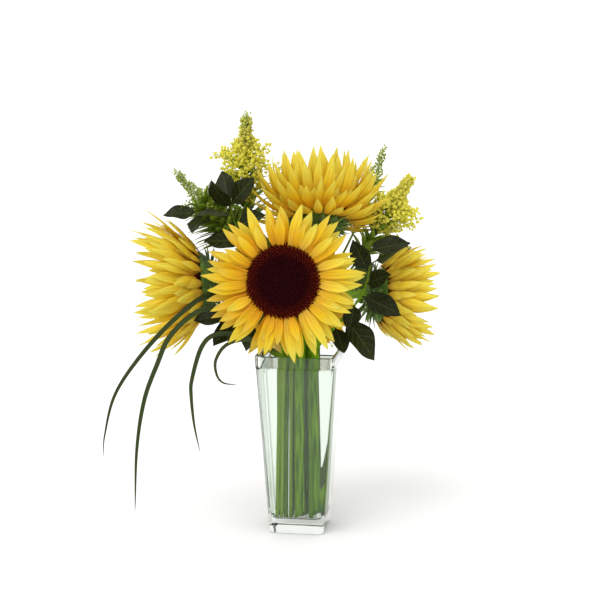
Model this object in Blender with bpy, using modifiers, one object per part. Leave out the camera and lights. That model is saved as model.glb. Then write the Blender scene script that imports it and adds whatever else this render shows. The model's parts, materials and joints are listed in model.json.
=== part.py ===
"""Sunflowers in a tapered square glass vase, with goldenrod, salal leaves and lily grass.

Metres, +Z up. The origin is the middle of the vase's underside, and X and Y run along the
vase's sides. The bunch is turned a little in the vase, so everything in it hangs from one
empty, whose own axes are across (x), back (y) and up (z).
"""
import math

import bmesh
import bpy
from mathutils import Matrix, Vector

MM = 0.001
GAP = 0.3 * MM

# Vase
VASE_HEIGHT = 203 * MM
VASE_BASE = 61 * MM
VASE_TOP = 89 * MM
VASE_WALL = 4 * MM
VASE_FLOOR = 16 * MM
VASE_CORNER = 7 * MM
EDGE_ROUNDING = 1 * MM
WATER_LEVEL = 188 * MM

# Bunch
BUNCH_TURN = math.radians(9)
FOOT_LEVEL = VASE_FLOOR + 0.5 * MM
RIM_LEVEL = 197 * MM
BUNDLE_WAIST = 0.85
STEM_COLLAR = 5 * MM
HOLE_CLEARANCE = 0.5 * MM

# Sunflower heads, as shares of the disc's radius where no unit is given
SUNFLOWER_STEM_RADIUS = 5.5 * MM
CALYX_DEPTH = 0.60
BRACT_REACH = 1.32
BRACT_BACK = 0.20
BRACTS = 14
RAY_PETALS = 16
PETAL_SEAT = 0.84
PETAL_THICKNESS = 1.2 * MM
PETAL_LEVEL = -1.0 * MM
CALYX_TOP = -2.0 * MM
DISC_DOME = 0.18
DISC_STEPS = 20

# Foliage
TWIG_RADIUS = 1.5 * MM
LEAF_THICKNESS = 0.8 * MM
LEAF_LENGTH = 47 * MM
LEAF_WIDTH = 27 * MM
# shares of the leaf's length and width, from its stalk to its point
LEAF_OUTLINE = ((0, 0.06), (0.10, 0.08), (0.30, 0.80), (0.52, 1.0), (0.78, 0.72), (1.0, 0.05))
BLADE_WIDTH = 5.5 * MM
BLADE_FOOT_WIDTH = 3.2 * MM
BLADE_THICKNESS = 0.9 * MM
BLADE_STEPS = 22
CURVE_STEPS = 9
PLUME_STEPS = 9

# name: (foot, head centre, facing, disc radius, petal length, petal angles at root and tip)
SUNFLOWERS = {
    "front": ((0, -18), (-18, -78, 293), (0.0, -1.0, 0.10), 39, 44, (30, -8)),
    "top": ((6, 3), (20, 8, 352), (0.03, 0.37, 0.93), 36, 58, (42, 78)),
    "left": ((-18, -4), (-112, -2, 277), (-0.98, -0.12, -0.04), 38, 62, (40, 75)),
    "right": ((18, -8), (91, 15, 262), (0.95, 0.22, -0.10), 31, 47, (42, 75)),
    "back": ((-3, 19), (-10, 82, 246), (-0.06, 1.0, 0.12), 37, 46, (30, 0)),
}

# name: (foot, plume start, plume tip, plume radius)
GOLDENRODS = {
    "tall": ((-14, 12), (-62, 62, 358), (-59, 40, 463), 21),
    "left": ((-7, 8), (-84, 26, 338), (-140, 22, 401), 14),
    "back": ((18, 9), (74, 100, 352), (97, 84, 422), 9),
    "right": ((24, 2), (84, 36, 328), (124, 42, 392), 21),
}

# name: (foot, twig tip, twig heading, lean at the rim, leaves), with each leaf as
# (share of the twig above the rim, direction, face normal, size)
SALALS = {
    "left": ((-8, -3), (-76, -22, 369), (-0.2, -0.1, 1.0), 0.0, (
        (0.72, (-0.80, -0.30, 0.10), (0.1, -0.7, 0.7), 0.90),
        (0.80, (0.60, -0.50, 0.40), (-0.2, -0.8, 0.6), 0.85),
        (0.86, (-0.90, -0.10, 0.15), (0.0, -0.2, 1.0), 0.85),
        (0.92, (-0.50, -0.60, 0.65), (-0.4, -0.7, -0.3), 0.90),
        (0.96, (0.55, -0.40, 0.75), (-0.5, -0.8, 0.1), 0.90),
        (1.00, (-0.25, 0.45, 0.90), (-0.2, -0.9, 0.3), 0.85),
    )),
    "right": ((13, -18), (74, -34, 318), (-0.1, 0.2, 1.0), 0.60, (
        (0.28, (0.25, -0.80, -0.50), (0.1, -0.6, 0.8), 0.80),
        (0.38, (0.62, -0.22, -0.75), (0.5, -0.8, 0.4), 1.20),
        (0.51, (-0.20, -0.75, -0.60), (-0.2, -0.8, 0.5), 0.75),
        (0.60, (0.90, -0.20, -0.35), (0.1, -0.8, 0.6), 1.00),
        (0.70, (0.55, -0.65, 0.40), (-0.3, -0.8, 0.5), 0.80),
        (0.80, (-0.45, -0.30, 0.85), (-0.2, -0.9, -0.2), 0.85),
        (0.88, (-0.35, 0.50, -0.80), (-0.3, 0.8, 0.5), 0.90),
        (1.00, (0.95, 0.15, 0.28), (-0.1, -0.6, 0.8), 1.00),
    )),
    "low": ((-15, -14), (-76, -40, 250), (-1.0, -0.2, 0.2), 0.35, (
        (0.66, (-0.35, 0.00, -0.90), (-0.5, -0.8, 0.3), 0.75),
        (0.76, (-0.60, 0.45, -0.65), (-0.4, -0.6, 0.7), 0.90),
        (0.84, (-0.75, -0.25, -0.70), (-0.4, -0.8, 0.5), 0.90),
        (1.00, (-0.95, -0.30, -0.05), (0.0, -0.7, 0.7), 0.85),
    )),
    "upper_left": ((-22, 7), (-112, 4, 355), (-0.9, -0.1, 0.3), 0.0, (
        (0.58, (-0.70, 0.30, -0.50), (-0.3, 0.5, 0.8), 0.80),
        (0.74, (0.45, 0.75, 0.50), (-0.1, 0.6, 0.7), 0.95),
        (0.88, (-0.30, -0.80, -0.15), (-0.2, -0.3, 0.9), 0.90),
        (1.00, (-0.98, -0.10, 0.05), (0.1, -0.6, 0.8), 0.80),
    )),
    "back_right": ((10, 16), (84, 74, 290), (0.5, 0.4, 0.8), 0.2, (
        (0.65, (0.70, 0.70, -0.10), (0.1, 0.3, 0.9), 1.00),
        (0.85, (-0.10, 0.95, 0.20), (0.1, 0.5, 0.9), 1.00),
        (1.00, (0.85, 0.30, 0.35), (0.2, 0.8, 0.5), 1.00),
    )),
}

# Each blade's foot, and then the route that it takes from the rim to its tip
GRASS_BLADES = (
    ((-9, -9), ((-20, -17, 234), (-42, -33, 258), (-72, -55, 273), (-99, -73, 277), (-131, -90, 256),
                (-169, -92, 215), (-197, -88, 172), (-209, -84, 127), (-211, -82, 104))),
    ((-10, -19), ((-30, -38, 232), (-62, -60, 257), (-92, -76, 265), (-116, -86, 257),
                  (-139, -90, 234), (-151, -88, 207), (-166, -86, 166), (-175, -84, 111),
                  (-178, -82, 42))),
    ((-25, -16), ((-44, -38, 218), (-70, -58, 232), (-92, -66, 233), (-106, -69, 219),
                  (-116, -70, 185), (-117, -70, 167), (-114, -70, 135), (-108, -70, 105))),
    ((-20, -21), ((-34, -42, 214), (-58, -62, 227), (-79, -72, 223), (-90, -75, 207),
                  (-89, -75, 191), (-82, -74, 182), (-68, -70, 179))),
)

MATERIALS = {
    # name: (colour, roughness, metallic, alpha)
    "clear_glass": ((0.86, 0.90, 0.88), 0.05, 0.0, 0.35),
    "water": ((0.90, 0.95, 0.93), 0.05, 0.0, 0.30),
    "sunflower_stem": ((0.20, 0.36, 0.07), 0.65, 0.0, 1.0),
    "sunflower_calyx": ((0.13, 0.24, 0.05), 0.70, 0.0, 1.0),
    "ray_petal": ((0.86, 0.52, 0.02), 0.55, 0.0, 1.0),
    "disc_floret": ((0.035, 0.008, 0.006), 0.85, 0.0, 1.0),
    "goldenrod": ((0.56, 0.54, 0.06), 0.80, 0.0, 1.0),
    "salal_twig": ((0.20, 0.12, 0.05), 0.70, 0.0, 1.0),
    "salal_leaf": ((0.016, 0.035, 0.010), 0.30, 0.0, 1.0),
    "grass_blade": ((0.030, 0.050, 0.015), 0.45, 0.0, 1.0),
}


def clear_scene():
    for item in list(bpy.data.objects):
        bpy.data.objects.remove(item, do_unlink=True)


def make_collection(name):
    collection = bpy.data.collections.new(name)
    bpy.context.scene.collection.children.link(collection)
    return collection


def make_material(name):
    colour, roughness, metallic, alpha = MATERIALS[name]
    material = bpy.data.materials.new(name)
    material.use_nodes = True
    shader = material.node_tree.nodes["Principled BSDF"]
    shader.inputs["Base Color"].default_value = (*colour, 1.0)
    shader.inputs["Roughness"].default_value = roughness
    shader.inputs["Metallic"].default_value = metallic
    shader.inputs["Alpha"].default_value = alpha
    return material


def make_empty(name, collection, parent=None):
    empty = bpy.data.objects.new(name, None)
    empty.parent = parent
    collection.objects.link(empty)
    return empty


def make_object(name, data, material, collection, parent=None):
    piece = bpy.data.objects.new(name, data)
    data.materials.append(material)
    piece.parent = parent
    collection.objects.link(piece)
    return piece


def mesh_from_bmesh(name, bm):
    bmesh.ops.recalc_face_normals(bm, faces=bm.faces)
    mesh = bpy.data.meshes.new(name)
    bm.to_mesh(mesh)
    bm.free()
    return mesh


def smooth(piece, angle=40):
    piece.data.shade_smooth()
    piece.data.set_sharp_from_angle(angle=math.radians(angle))


def add_solidify(piece, thickness):
    solidify = piece.modifiers.new("Thickness", "SOLIDIFY")
    solidify.thickness = thickness
    solidify.offset = 0.0


def hide_cutter(cutter):
    cutter.hide_render = True
    cutter.display_type = "WIRE"


def cut(piece, cutter):
    boolean = piece.modifiers.new("Cut", "BOOLEAN")
    boolean.operation = "DIFFERENCE"
    boolean.solver = "EXACT"
    boolean.object = cutter


def vase_half_width(level):
    """Half of the vase's outer width at a height above its underside."""
    return (VASE_BASE + (VASE_TOP - VASE_BASE) * level / VASE_HEIGHT) / 2


def tapered_block(name, bottom, top, inset, corner, rounding=0.0):
    """A square block that follows the vase's taper, inset from its outside, corners rounded."""
    bm = bmesh.new()
    bmesh.ops.create_cube(bm, size=1.0)
    for vert in bm.verts:
        level = top if vert.co.z > 0 else bottom
        half = vase_half_width(level) - inset
        vert.co = Vector((2 * half * vert.co.x, 2 * half * vert.co.y, level))
    uprights = [edge for edge in bm.edges if abs(edge.verts[0].co.z - edge.verts[1].co.z) > MM]
    bmesh.ops.bevel(bm, geom=uprights, offset=corner, segments=3, profile=0.5, affect="EDGES")
    if rounding:
        ends = [edge for edge in bm.edges if abs(edge.verts[0].co.z - edge.verts[1].co.z) < MM]
        bmesh.ops.bevel(bm, geom=ends, offset=rounding, segments=1, affect="EDGES")
    return mesh_from_bmesh(name, bm)


def make_vase(parts, cutters):
    outside = tapered_block("vase", 0.0, VASE_HEIGHT, 0.0, VASE_CORNER, EDGE_ROUNDING)
    vase = make_object("vase", outside, make_material("clear_glass"), parts)
    inside = tapered_block(
        "vase_inside", VASE_FLOOR, 1.2 * VASE_HEIGHT, VASE_WALL, VASE_CORNER - 0.6 * VASE_WALL
    )
    cutter = make_object("vase_inside", inside, vase.active_material, cutters)
    hide_cutter(cutter)
    cut(vase, cutter)
    return vase


def foot_point(foot, level=FOOT_LEVEL):
    """The point of a straight stem at a height, leaning in from its foot to the bundle's waist."""
    share = (level - FOOT_LEVEL) / (RIM_LEVEL - FOOT_LEVEL)
    scale = 1 + (BUNDLE_WAIST - 1) * share
    return Vector((foot[0] * scale * MM, foot[1] * scale * MM, level))


def arc_route(start, start_heading, end, end_heading, steps=CURVE_STEPS):
    """Points of a cubic curve between two places with the given headings."""
    reach = 0.40 * (end - start).length
    near = start + start_heading.normalized() * reach
    far = end - end_heading.normalized() * reach
    route = []
    for step in range(steps + 1):
        t = step / steps
        s = 1 - t
        route.append(
            s * s * s * start + 3 * s * s * t * near + 3 * s * t * t * far + t * t * t * end
        )
    return route


def stem_route(foot, end, end_heading, lean=0.0):
    """A stem's points: straight up through the vase, a curve, and a short straight end.

    The lean is how far the stem already tips towards its end where it leaves the vase.
    """
    ground = foot_point(foot)
    rim = foot_point(foot, RIM_LEVEL)
    outward = Vector((end.x - rim.x, end.y - rim.y, 0)).normalized()
    start_heading = (rim - ground).normalized() + lean * outward
    collar = end - end_heading.normalized() * STEM_COLLAR
    return [ground] + arc_route(rim, start_heading, collar, end_heading) + [end]


def tube(name, route, radius, material, collection, parent, widths=None):
    """A round tube along a route, each point's width a share of the radius."""
    curve = bpy.data.curves.new(name, "CURVE")
    curve.dimensions = "3D"
    curve.bevel_depth = radius
    curve.bevel_resolution = 2
    curve.use_fill_caps = True
    spline = curve.splines.new("POLY")
    spline.points.add(len(route) - 1)
    for index, place in enumerate(route):
        spline.points[index].co = (*place, 1.0)
        spline.points[index].radius = widths[index] if widths else 1.0
    return make_object(name, curve, material, collection, parent)


def as_mesh(piece):
    """The same piece with its curve made a mesh, its end caps welded on."""
    graph = bpy.context.evaluated_depsgraph_get()
    mesh = bpy.data.meshes.new_from_object(piece.evaluated_get(graph))
    bm = bmesh.new()
    bm.from_mesh(mesh)
    bmesh.ops.remove_doubles(bm, verts=bm.verts, dist=0.01 * MM)
    bm.to_mesh(mesh)
    bm.free()
    solid = bpy.data.objects.new(piece.name + "_solid", mesh)
    piece.users_collection[0].objects.link(solid)
    solid.matrix_world = piece.matrix_world
    bpy.data.objects.remove(piece, do_unlink=True)
    return solid


def make_water(parts, cutters, bunch, feet):
    """The water, from the glass floor to its level, with a hole round each stem in it."""
    block = tapered_block(
        "water", VASE_FLOOR + GAP, WATER_LEVEL, VASE_WALL + GAP,
        VASE_CORNER - 0.6 * VASE_WALL,
    )
    water = make_object("water", block, make_material("water"), parts)
    for index, (foot, radius) in enumerate(feet):
        ends = [foot_point(foot, VASE_FLOOR / 2), foot_point(foot, VASE_HEIGHT)]
        drill = tube(
            f"stem_hole_{index + 1}", ends, radius + HOLE_CLEARANCE, water.active_material,
            cutters, bunch,
        )
        bpy.context.view_layer.update()
        drill = as_mesh(drill)
        hide_cutter(drill)
        cut(water, drill)
    return water


def turned(name, profile, steps):
    """A body turned about Z from a profile that runs from axis to axis."""
    bm = bmesh.new()
    verts = [bm.verts.new((radius, 0, level)) for radius, level in profile]
    edges = [bm.edges.new(pair) for pair in zip(verts, verts[1:])]
    bmesh.ops.spin(
        bm, geom=verts + edges, cent=(0, 0, 0), axis=(0, 0, 1),
        angle=2 * math.pi, steps=steps, use_merge=True,
    )
    bmesh.ops.remove_doubles(bm, verts=bm.verts, dist=0.01 * MM)
    return bm


def calyx_mesh(name, disc_radius):
    """The green receptacle behind the petals, its rim drawn out into pointed bracts."""
    depth = CALYX_DEPTH * disc_radius
    rim = 1.02 * disc_radius
    profile = [
        (0, -depth),
        (SUNFLOWER_STEM_RADIUS + MM, -depth),
        (0.68 * disc_radius, -0.62 * depth),
        (rim, CALYX_TOP - 0.16 * depth),
        (rim, CALYX_TOP),
        (0, CALYX_TOP),
    ]
    bm = turned(name, profile, 2 * BRACTS)
    column = math.pi / BRACTS
    for vert in bm.verts:
        flat = vert.co.to_2d()
        on_rim = flat.length > 0.99 * rim and vert.co.z < CALYX_TOP - MM
        number = round(math.atan2(flat.y, flat.x) / column)
        if on_rim and number % 2:
            vert.co.x *= BRACT_REACH / 1.02
            vert.co.y *= BRACT_REACH / 1.02
            vert.co.z -= BRACT_BACK * disc_radius
    return mesh_from_bmesh(name, bm)


def petal_mesh(name, disc_radius, length, angles):
    """The ring of ray petals as one sheet with a pointed edge, seated under the disc."""
    columns = 2 * RAY_PETALS
    rings = 4
    bm = bmesh.new()
    bmesh.ops.create_grid(bm, x_segments=columns, y_segments=rings, size=0.5)
    root = 1.06 * disc_radius
    steps = 12
    arc = [(root, PETAL_LEVEL)]
    for step in range(steps):
        slope = math.radians(angles[0] + (angles[1] - angles[0]) * (step + 0.5) / steps)
        arc.append((
            arc[-1][0] + length / steps * math.cos(slope),
            arc[-1][1] + length / steps * math.sin(slope),
        ))
    for vert in bm.verts:
        column = round((vert.co.x + 0.5) * columns)
        ring = round((vert.co.y + 0.5) * rings)
        turn = 2 * math.pi * (column % columns) / columns
        if ring == 0:
            radius, level = PETAL_SEAT * disc_radius, PETAL_LEVEL
        else:
            full = 1.0 if column % 2 else 0.66
            share = full * (ring - 1) / (rings - 1)
            radius, level = arc[round(share * steps)]
        vert.co = Vector((radius * math.cos(turn), radius * math.sin(turn), level))
    bmesh.ops.remove_doubles(bm, verts=bm.verts, dist=0.01 * MM)
    return mesh_from_bmesh(name, bm)


def disc_mesh(name, disc_radius):
    """The dark disc of florets, a low dome on a flat back."""
    dome = DISC_DOME * disc_radius
    profile = [
        (0, 0.92 * dome),
        (0.60 * disc_radius, dome),
        (0.94 * disc_radius, 0.45 * dome),
        (disc_radius, 0),
        (0, 0),
    ]
    return mesh_from_bmesh(name, turned(name, profile, DISC_STEPS))


def make_sunflower(name, spec, parts, bunch, looks):
    foot, centre, facing, radius, length, angles = spec
    radius *= MM
    centre = Vector(centre) * MM
    facing = Vector(facing).normalized()
    head = make_empty(f"sunflower_{name}_head", parts, bunch)
    head.location = centre
    head.rotation_mode = "QUATERNION"
    head.rotation_quaternion = facing.to_track_quat("Z", "Y")
    neck = centre - facing * (CALYX_DEPTH * radius + GAP)
    tube(
        f"sunflower_{name}_stem", stem_route(foot, neck, facing), SUNFLOWER_STEM_RADIUS,
        looks["sunflower_stem"], parts, bunch,
    )
    calyx = calyx_mesh(f"sunflower_{name}_calyx", radius)
    smooth(make_object(calyx.name, calyx, looks["sunflower_calyx"], parts, head))
    petals = petal_mesh(f"sunflower_{name}_petals", radius, length * MM, angles)
    ring = make_object(petals.name, petals, looks["ray_petal"], parts, head)
    add_solidify(ring, PETAL_THICKNESS)
    disc = disc_mesh(f"sunflower_{name}_disc", radius)
    smooth(make_object(disc.name, disc, looks["disc_floret"], parts, head))


def make_goldenrod(name, spec, parts, bunch, looks):
    foot, start, tip, radius = spec
    start = Vector(start) * MM
    tip = Vector(tip) * MM
    radius *= MM
    route = stem_route(foot, start, tip - start)
    widths = [TWIG_RADIUS / radius] * len(route)
    for step in range(1, PLUME_STEPS + 1):
        share = step / PLUME_STEPS
        route.append(start.lerp(tip, share))
        widths.append(0.15 + 0.85 * math.sin(math.pi * share ** 0.45) ** 1.5)
    tube(f"goldenrod_{name}", route, radius, looks["goldenrod"], parts, bunch, widths)


def leaf_mesh(name, size):
    """A leaf from its stalk at the origin along +Y, cupped across and drooping along."""
    last = len(LEAF_OUTLINE) - 1
    bm = bmesh.new()
    bmesh.ops.create_grid(bm, x_segments=2, y_segments=last, size=0.5)
    for vert in bm.verts:
        along, width = LEAF_OUTLINE[round((vert.co.y + 0.5) * last)]
        across = 2 * vert.co.x
        half = 0.5 * LEAF_WIDTH * size * width
        vert.co = Vector((
            across * half,
            along * LEAF_LENGTH * size,
            0.18 * half * abs(across) - 0.12 * LEAF_LENGTH * size * along * along,
        ))
    return mesh_from_bmesh(name, bm)


def frame_along(direction, normal, place):
    """A matrix at a place whose Y runs along a direction and whose Z leans to a normal."""
    ahead = Vector(direction).normalized()
    side = ahead.cross(Vector(normal)).normalized()
    up = side.cross(ahead)
    turn = Matrix((side, ahead, up)).transposed().to_4x4()
    return Matrix.Translation(place) @ turn


def make_salal(name, spec, parts, bunch, looks):
    foot, tip, heading, lean, leaves = spec
    route = stem_route(foot, Vector(tip) * MM, Vector(heading), lean)
    tube(f"salal_{name}_twig", route, TWIG_RADIUS, looks["salal_twig"], parts, bunch)
    arch = route[1:]
    for number, (share, direction, normal, size) in enumerate(leaves):
        spot = share * (len(arch) - 1)
        index = min(int(spot), len(arch) - 2)
        place = arch[index].lerp(arch[index + 1], spot - index)
        tangent = (arch[index + 1] - arch[index]).normalized()
        ahead = Vector(direction).normalized()
        if share == 1:
            place += tangent * (0.5 * LEAF_THICKNESS + 2.5 * GAP)
        else:
            outward = (ahead - ahead.dot(tangent) * tangent).normalized()
            place += outward * (TWIG_RADIUS + 0.5 * LEAF_THICKNESS + 1.2 * GAP)
        mesh = leaf_mesh(f"salal_{name}_leaf_{number + 1}", size)
        leaf = make_object(mesh.name, mesh, looks["salal_leaf"], parts, bunch)
        leaf.matrix_local = frame_along(direction, normal, place)
        add_solidify(leaf, LEAF_THICKNESS)
        smooth(leaf, 60)


def smooth_route(points, steps):
    """Evenly stepped points of a curve that runs through all the given points."""
    padded = [2 * points[0] - points[1]] + points + [2 * points[-1] - points[-2]]
    spans = len(points) - 1
    route = []
    for step in range(steps + 1):
        spot = spans * step / steps
        index = min(int(spot), spans - 1)
        t = spot - index
        a, b, c, d = padded[index:index + 4]
        route.append(0.5 * (
            2 * b + (c - a) * t + (2 * a - 5 * b + 4 * c - d) * t * t
            + (3 * b - a - 3 * c + d) * t * t * t
        ))
    return route


def blade_mesh(name, route):
    """A narrow blade along a route, folded a little and drawn out to a point."""
    last = len(route) - 1
    bm = bmesh.new()
    bmesh.ops.create_grid(bm, x_segments=1, y_segments=last, size=0.5)
    for vert in bm.verts:
        step = round((vert.co.y + 0.5) * last)
        tangent = (route[min(step + 1, last)] - route[max(step - 1, 0)]).normalized()
        back = Vector((0, 1, 0))
        side = (tangent.cross(back) + 0.8 * back).normalized()
        share = step / last
        full = BLADE_FOOT_WIDTH if step <= 1 else BLADE_WIDTH
        half = 0.5 * full * (1 - share ** 4) ** 0.7 + 0.3 * MM
        vert.co = route[step] + side * half * (2 * vert.co.x)
    return mesh_from_bmesh(name, bm)


def make_grass(parts, bunch, looks):
    for number, (foot, bends) in enumerate(GRASS_BLADES):
        points = [foot_point(foot, RIM_LEVEL)] + [Vector(bend) * MM for bend in bends]
        route = [foot_point(foot)] + smooth_route(points, BLADE_STEPS)
        mesh = blade_mesh(f"lily_grass_blade_{number + 1}", route)
        blade = make_object(mesh.name, mesh, looks["grass_blade"], parts, bunch)
        add_solidify(blade, BLADE_THICKNESS)
        smooth(blade, 60)


def main():
    clear_scene()
    parts = make_collection("sunflowers_in_vase")
    cutters = make_collection("cutters")
    cutters.hide_render = True
    make_vase(parts, cutters)
    bunch = make_empty("bunch", parts)
    bunch.rotation_euler.z = BUNCH_TURN
    looks = {name: make_material(name) for name in MATERIALS}
    for name, spec in SUNFLOWERS.items():
        make_sunflower(name, spec, parts, bunch, looks)
    for name, spec in GOLDENRODS.items():
        make_goldenrod(name, spec, parts, bunch, looks)
    for name, spec in SALALS.items():
        make_salal(name, spec, parts, bunch, looks)
    make_grass(parts, bunch, looks)
    feet = [(spec[0], SUNFLOWER_STEM_RADIUS) for spec in SUNFLOWERS.values()]
    feet += [(spec[0], TWIG_RADIUS) for spec in (*GOLDENRODS.values(), *SALALS.values())]
    feet += [(foot, 0.6 * BLADE_FOOT_WIDTH) for foot, bends in GRASS_BLADES]
    make_water(parts, cutters, bunch, feet)


main()
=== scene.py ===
"""Looks of a bunch of sunflowers in a tapered square glass vase.

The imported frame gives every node's place. The pieces here stand for those nodes: pressed glass,
water, sunflowers with separate rays and disc florets, goldenrod plumes, salal leaves and lily
grass. Everything in the bunch is worked out in the bunch's own axes (across, back, up) and then
turned with the bunch in the vase. Lengths are metres; MM turns millimetres into them.
"""
import json
import logging
import math
from dataclasses import dataclass, field
from enum import Enum

import bpy
import numpy as np
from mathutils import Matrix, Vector

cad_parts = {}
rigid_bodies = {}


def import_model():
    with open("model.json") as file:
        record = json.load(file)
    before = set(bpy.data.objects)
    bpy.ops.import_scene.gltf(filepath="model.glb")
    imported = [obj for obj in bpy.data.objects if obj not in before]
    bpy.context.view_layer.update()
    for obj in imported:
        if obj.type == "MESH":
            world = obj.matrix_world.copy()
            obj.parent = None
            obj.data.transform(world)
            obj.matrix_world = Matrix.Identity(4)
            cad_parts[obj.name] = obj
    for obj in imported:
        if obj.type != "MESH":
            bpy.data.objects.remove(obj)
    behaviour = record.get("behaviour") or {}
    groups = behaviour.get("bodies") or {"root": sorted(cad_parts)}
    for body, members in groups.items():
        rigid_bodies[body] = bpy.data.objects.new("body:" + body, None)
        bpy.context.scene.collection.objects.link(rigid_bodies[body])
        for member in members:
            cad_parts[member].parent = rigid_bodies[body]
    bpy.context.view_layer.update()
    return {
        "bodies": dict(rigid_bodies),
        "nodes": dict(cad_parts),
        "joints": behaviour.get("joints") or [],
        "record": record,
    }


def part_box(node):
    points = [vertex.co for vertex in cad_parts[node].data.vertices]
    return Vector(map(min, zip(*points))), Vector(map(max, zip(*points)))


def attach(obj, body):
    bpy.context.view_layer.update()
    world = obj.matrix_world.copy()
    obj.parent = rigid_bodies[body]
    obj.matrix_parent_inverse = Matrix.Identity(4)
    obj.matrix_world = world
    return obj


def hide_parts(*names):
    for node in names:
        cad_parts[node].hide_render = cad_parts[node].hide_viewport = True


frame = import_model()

LOG = logging.getLogger("sunflowers")
MM = 0.001
GOLDEN_ANGLE = math.pi * (3.0 - math.sqrt(5.0))
UP = np.array((0.0, 0.0, 1.0))
Vec = tuple[float, float, float]


class Slot(Enum):
    """The record's material slots."""

    GLASS = "clear_glass"
    WATER = "water"
    STEM = "sunflower_stem"
    CALYX = "sunflower_calyx"
    PETAL = "ray_petal"
    DISC = "disc_floret"
    GOLDENROD = "goldenrod"
    TWIG = "salal_twig"
    LEAF = "salal_leaf"
    GRASS = "grass_blade"


# ---------------------------------------------------------------------------------------------
# Arrays: the surfaces are worked out here, whole arrays at a time
# ---------------------------------------------------------------------------------------------


def unit(vectors: np.ndarray) -> np.ndarray:
    """Vectors scaled to length one along the last axis."""
    return vectors / np.maximum(np.linalg.norm(vectors, axis=-1, keepdims=True), 1e-12)


def grid_quads(rows: int, columns: int, wrap: bool = False) -> np.ndarray:
    """Quads of a grid of rows by columns, facing along (next row) x (next column).

    Args:
        rows: Points along the first parameter.
        columns: Points along the second parameter.
        wrap: Whether the last column joins the first.

    Returns:
        An array of four corner numbers for each quad.
    """
    across = columns if wrap else columns - 1
    row, column = np.meshgrid(np.arange(rows - 1), np.arange(across), indexing="ij")
    beside = (column + 1) % columns
    corners = (
        row * columns + column,
        (row + 1) * columns + column,
        (row + 1) * columns + beside,
        row * columns + beside,
    )
    return np.stack([corner.ravel() for corner in corners], axis=1)


@dataclass
class Surface:
    """One mesh as whole arrays.

    The uv runs across and along a sheet. The tone holds three marks for each point: how far
    along its part it lies, the part's own chance value, and a third one that each maker names.
    """

    points: np.ndarray
    quads: np.ndarray
    tris: np.ndarray
    uv: np.ndarray
    tone: np.ndarray

    def moved(self, turn: np.ndarray, place: np.ndarray) -> "Surface":
        """The surface turned by a matrix of axis columns and set at a place."""
        points = self.points @ turn.T + place
        return Surface(points, self.quads, self.tris, self.uv, self.tone)

    def to_object(self, name: str) -> bpy.types.Object:
        """Makes the Blender object, its place in its mesh.

        Args:
            name: The object's name.

        Returns:
            The new object, linked to the scene and shaded smooth.
        """
        mesh = bpy.data.meshes.new(name)
        loops = np.concatenate([self.quads.ravel(), self.tris.ravel()]).astype(np.int32)
        sizes = np.concatenate([
            np.full(len(self.quads), 4, np.int32), np.full(len(self.tris), 3, np.int32)
        ])
        mesh.vertices.add(len(self.points))
        mesh.vertices.foreach_set("co", self.points.astype(np.float32).ravel())
        mesh.loops.add(len(loops))
        mesh.loops.foreach_set("vertex_index", loops)
        mesh.polygons.add(len(sizes))
        starts = np.concatenate([[0], np.cumsum(sizes)[:-1]]).astype(np.int32)
        mesh.polygons.foreach_set("loop_start", starts)
        mesh.update(calc_edges=True)
        layer = mesh.uv_layers.new(name="sheet")
        layer.data.foreach_set("uv", self.uv[loops].astype(np.float32).ravel())
        tone = mesh.color_attributes.new("tone", "FLOAT_COLOR", "POINT")
        rgba = np.concatenate([self.tone, np.ones((len(self.tone), 1))], axis=1)
        tone.data.foreach_set("color", rgba.astype(np.float32).ravel())
        mesh.shade_smooth()
        piece = bpy.data.objects.new(name, mesh)
        bpy.context.scene.collection.objects.link(piece)
        return piece


def join(surfaces: list[Surface]) -> Surface:
    """Several surfaces as one."""
    starts = np.cumsum([0] + [len(item.points) for item in surfaces[:-1]])
    return Surface(
        np.concatenate([item.points for item in surfaces]),
        np.concatenate([item.quads + start for item, start in zip(surfaces, starts)]),
        np.concatenate([item.tris + start for item, start in zip(surfaces, starts)]),
        np.concatenate([item.uv for item in surfaces]),
        np.concatenate([item.tone for item in surfaces]),
    )


def closed_loft(
    rings: np.ndarray, ends: np.ndarray, chance: float = 0.0, third: float = 0.0
) -> Surface:
    """A closed body of rings of points with a middle point at each end.

    Args:
        rings: Points of shape (rings, around, 3); (next ring) x (next point) faces outwards.
        ends: The two end points.
        chance: The body's chance value.
        third: The body's third mark.

    Returns:
        The body. Its uv runs round to the far side and back, so it has no seam, and along.
    """
    rows, around = rings.shape[:2]
    first, last = rows * around, rows * around + 1
    spot = np.arange(around)
    beside = (spot + 1) % around
    top = (rows - 1) * around
    start_fan = np.stack([np.full(around, first), spot, beside], axis=1)
    end_fan = np.stack([np.full(around, last), top + beside, top + spot], axis=1)
    share = np.linspace(0, 1, rows)
    u, v = np.meshgrid(1 - np.abs(1 - 2 * spot / around), share)
    uv = np.concatenate([np.stack([u.ravel(), v.ravel()], 1), [[0.5, 0.0], [0.5, 1.0]]])
    tone = np.stack([uv[:, 1], np.full(len(uv), chance), np.full(len(uv), third)], axis=1)
    return Surface(
        np.concatenate([rings.reshape(-1, 3), ends]),
        grid_quads(rows, around, wrap=True),
        np.concatenate([start_fan, end_fan]),
        uv,
        tone,
    )


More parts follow.
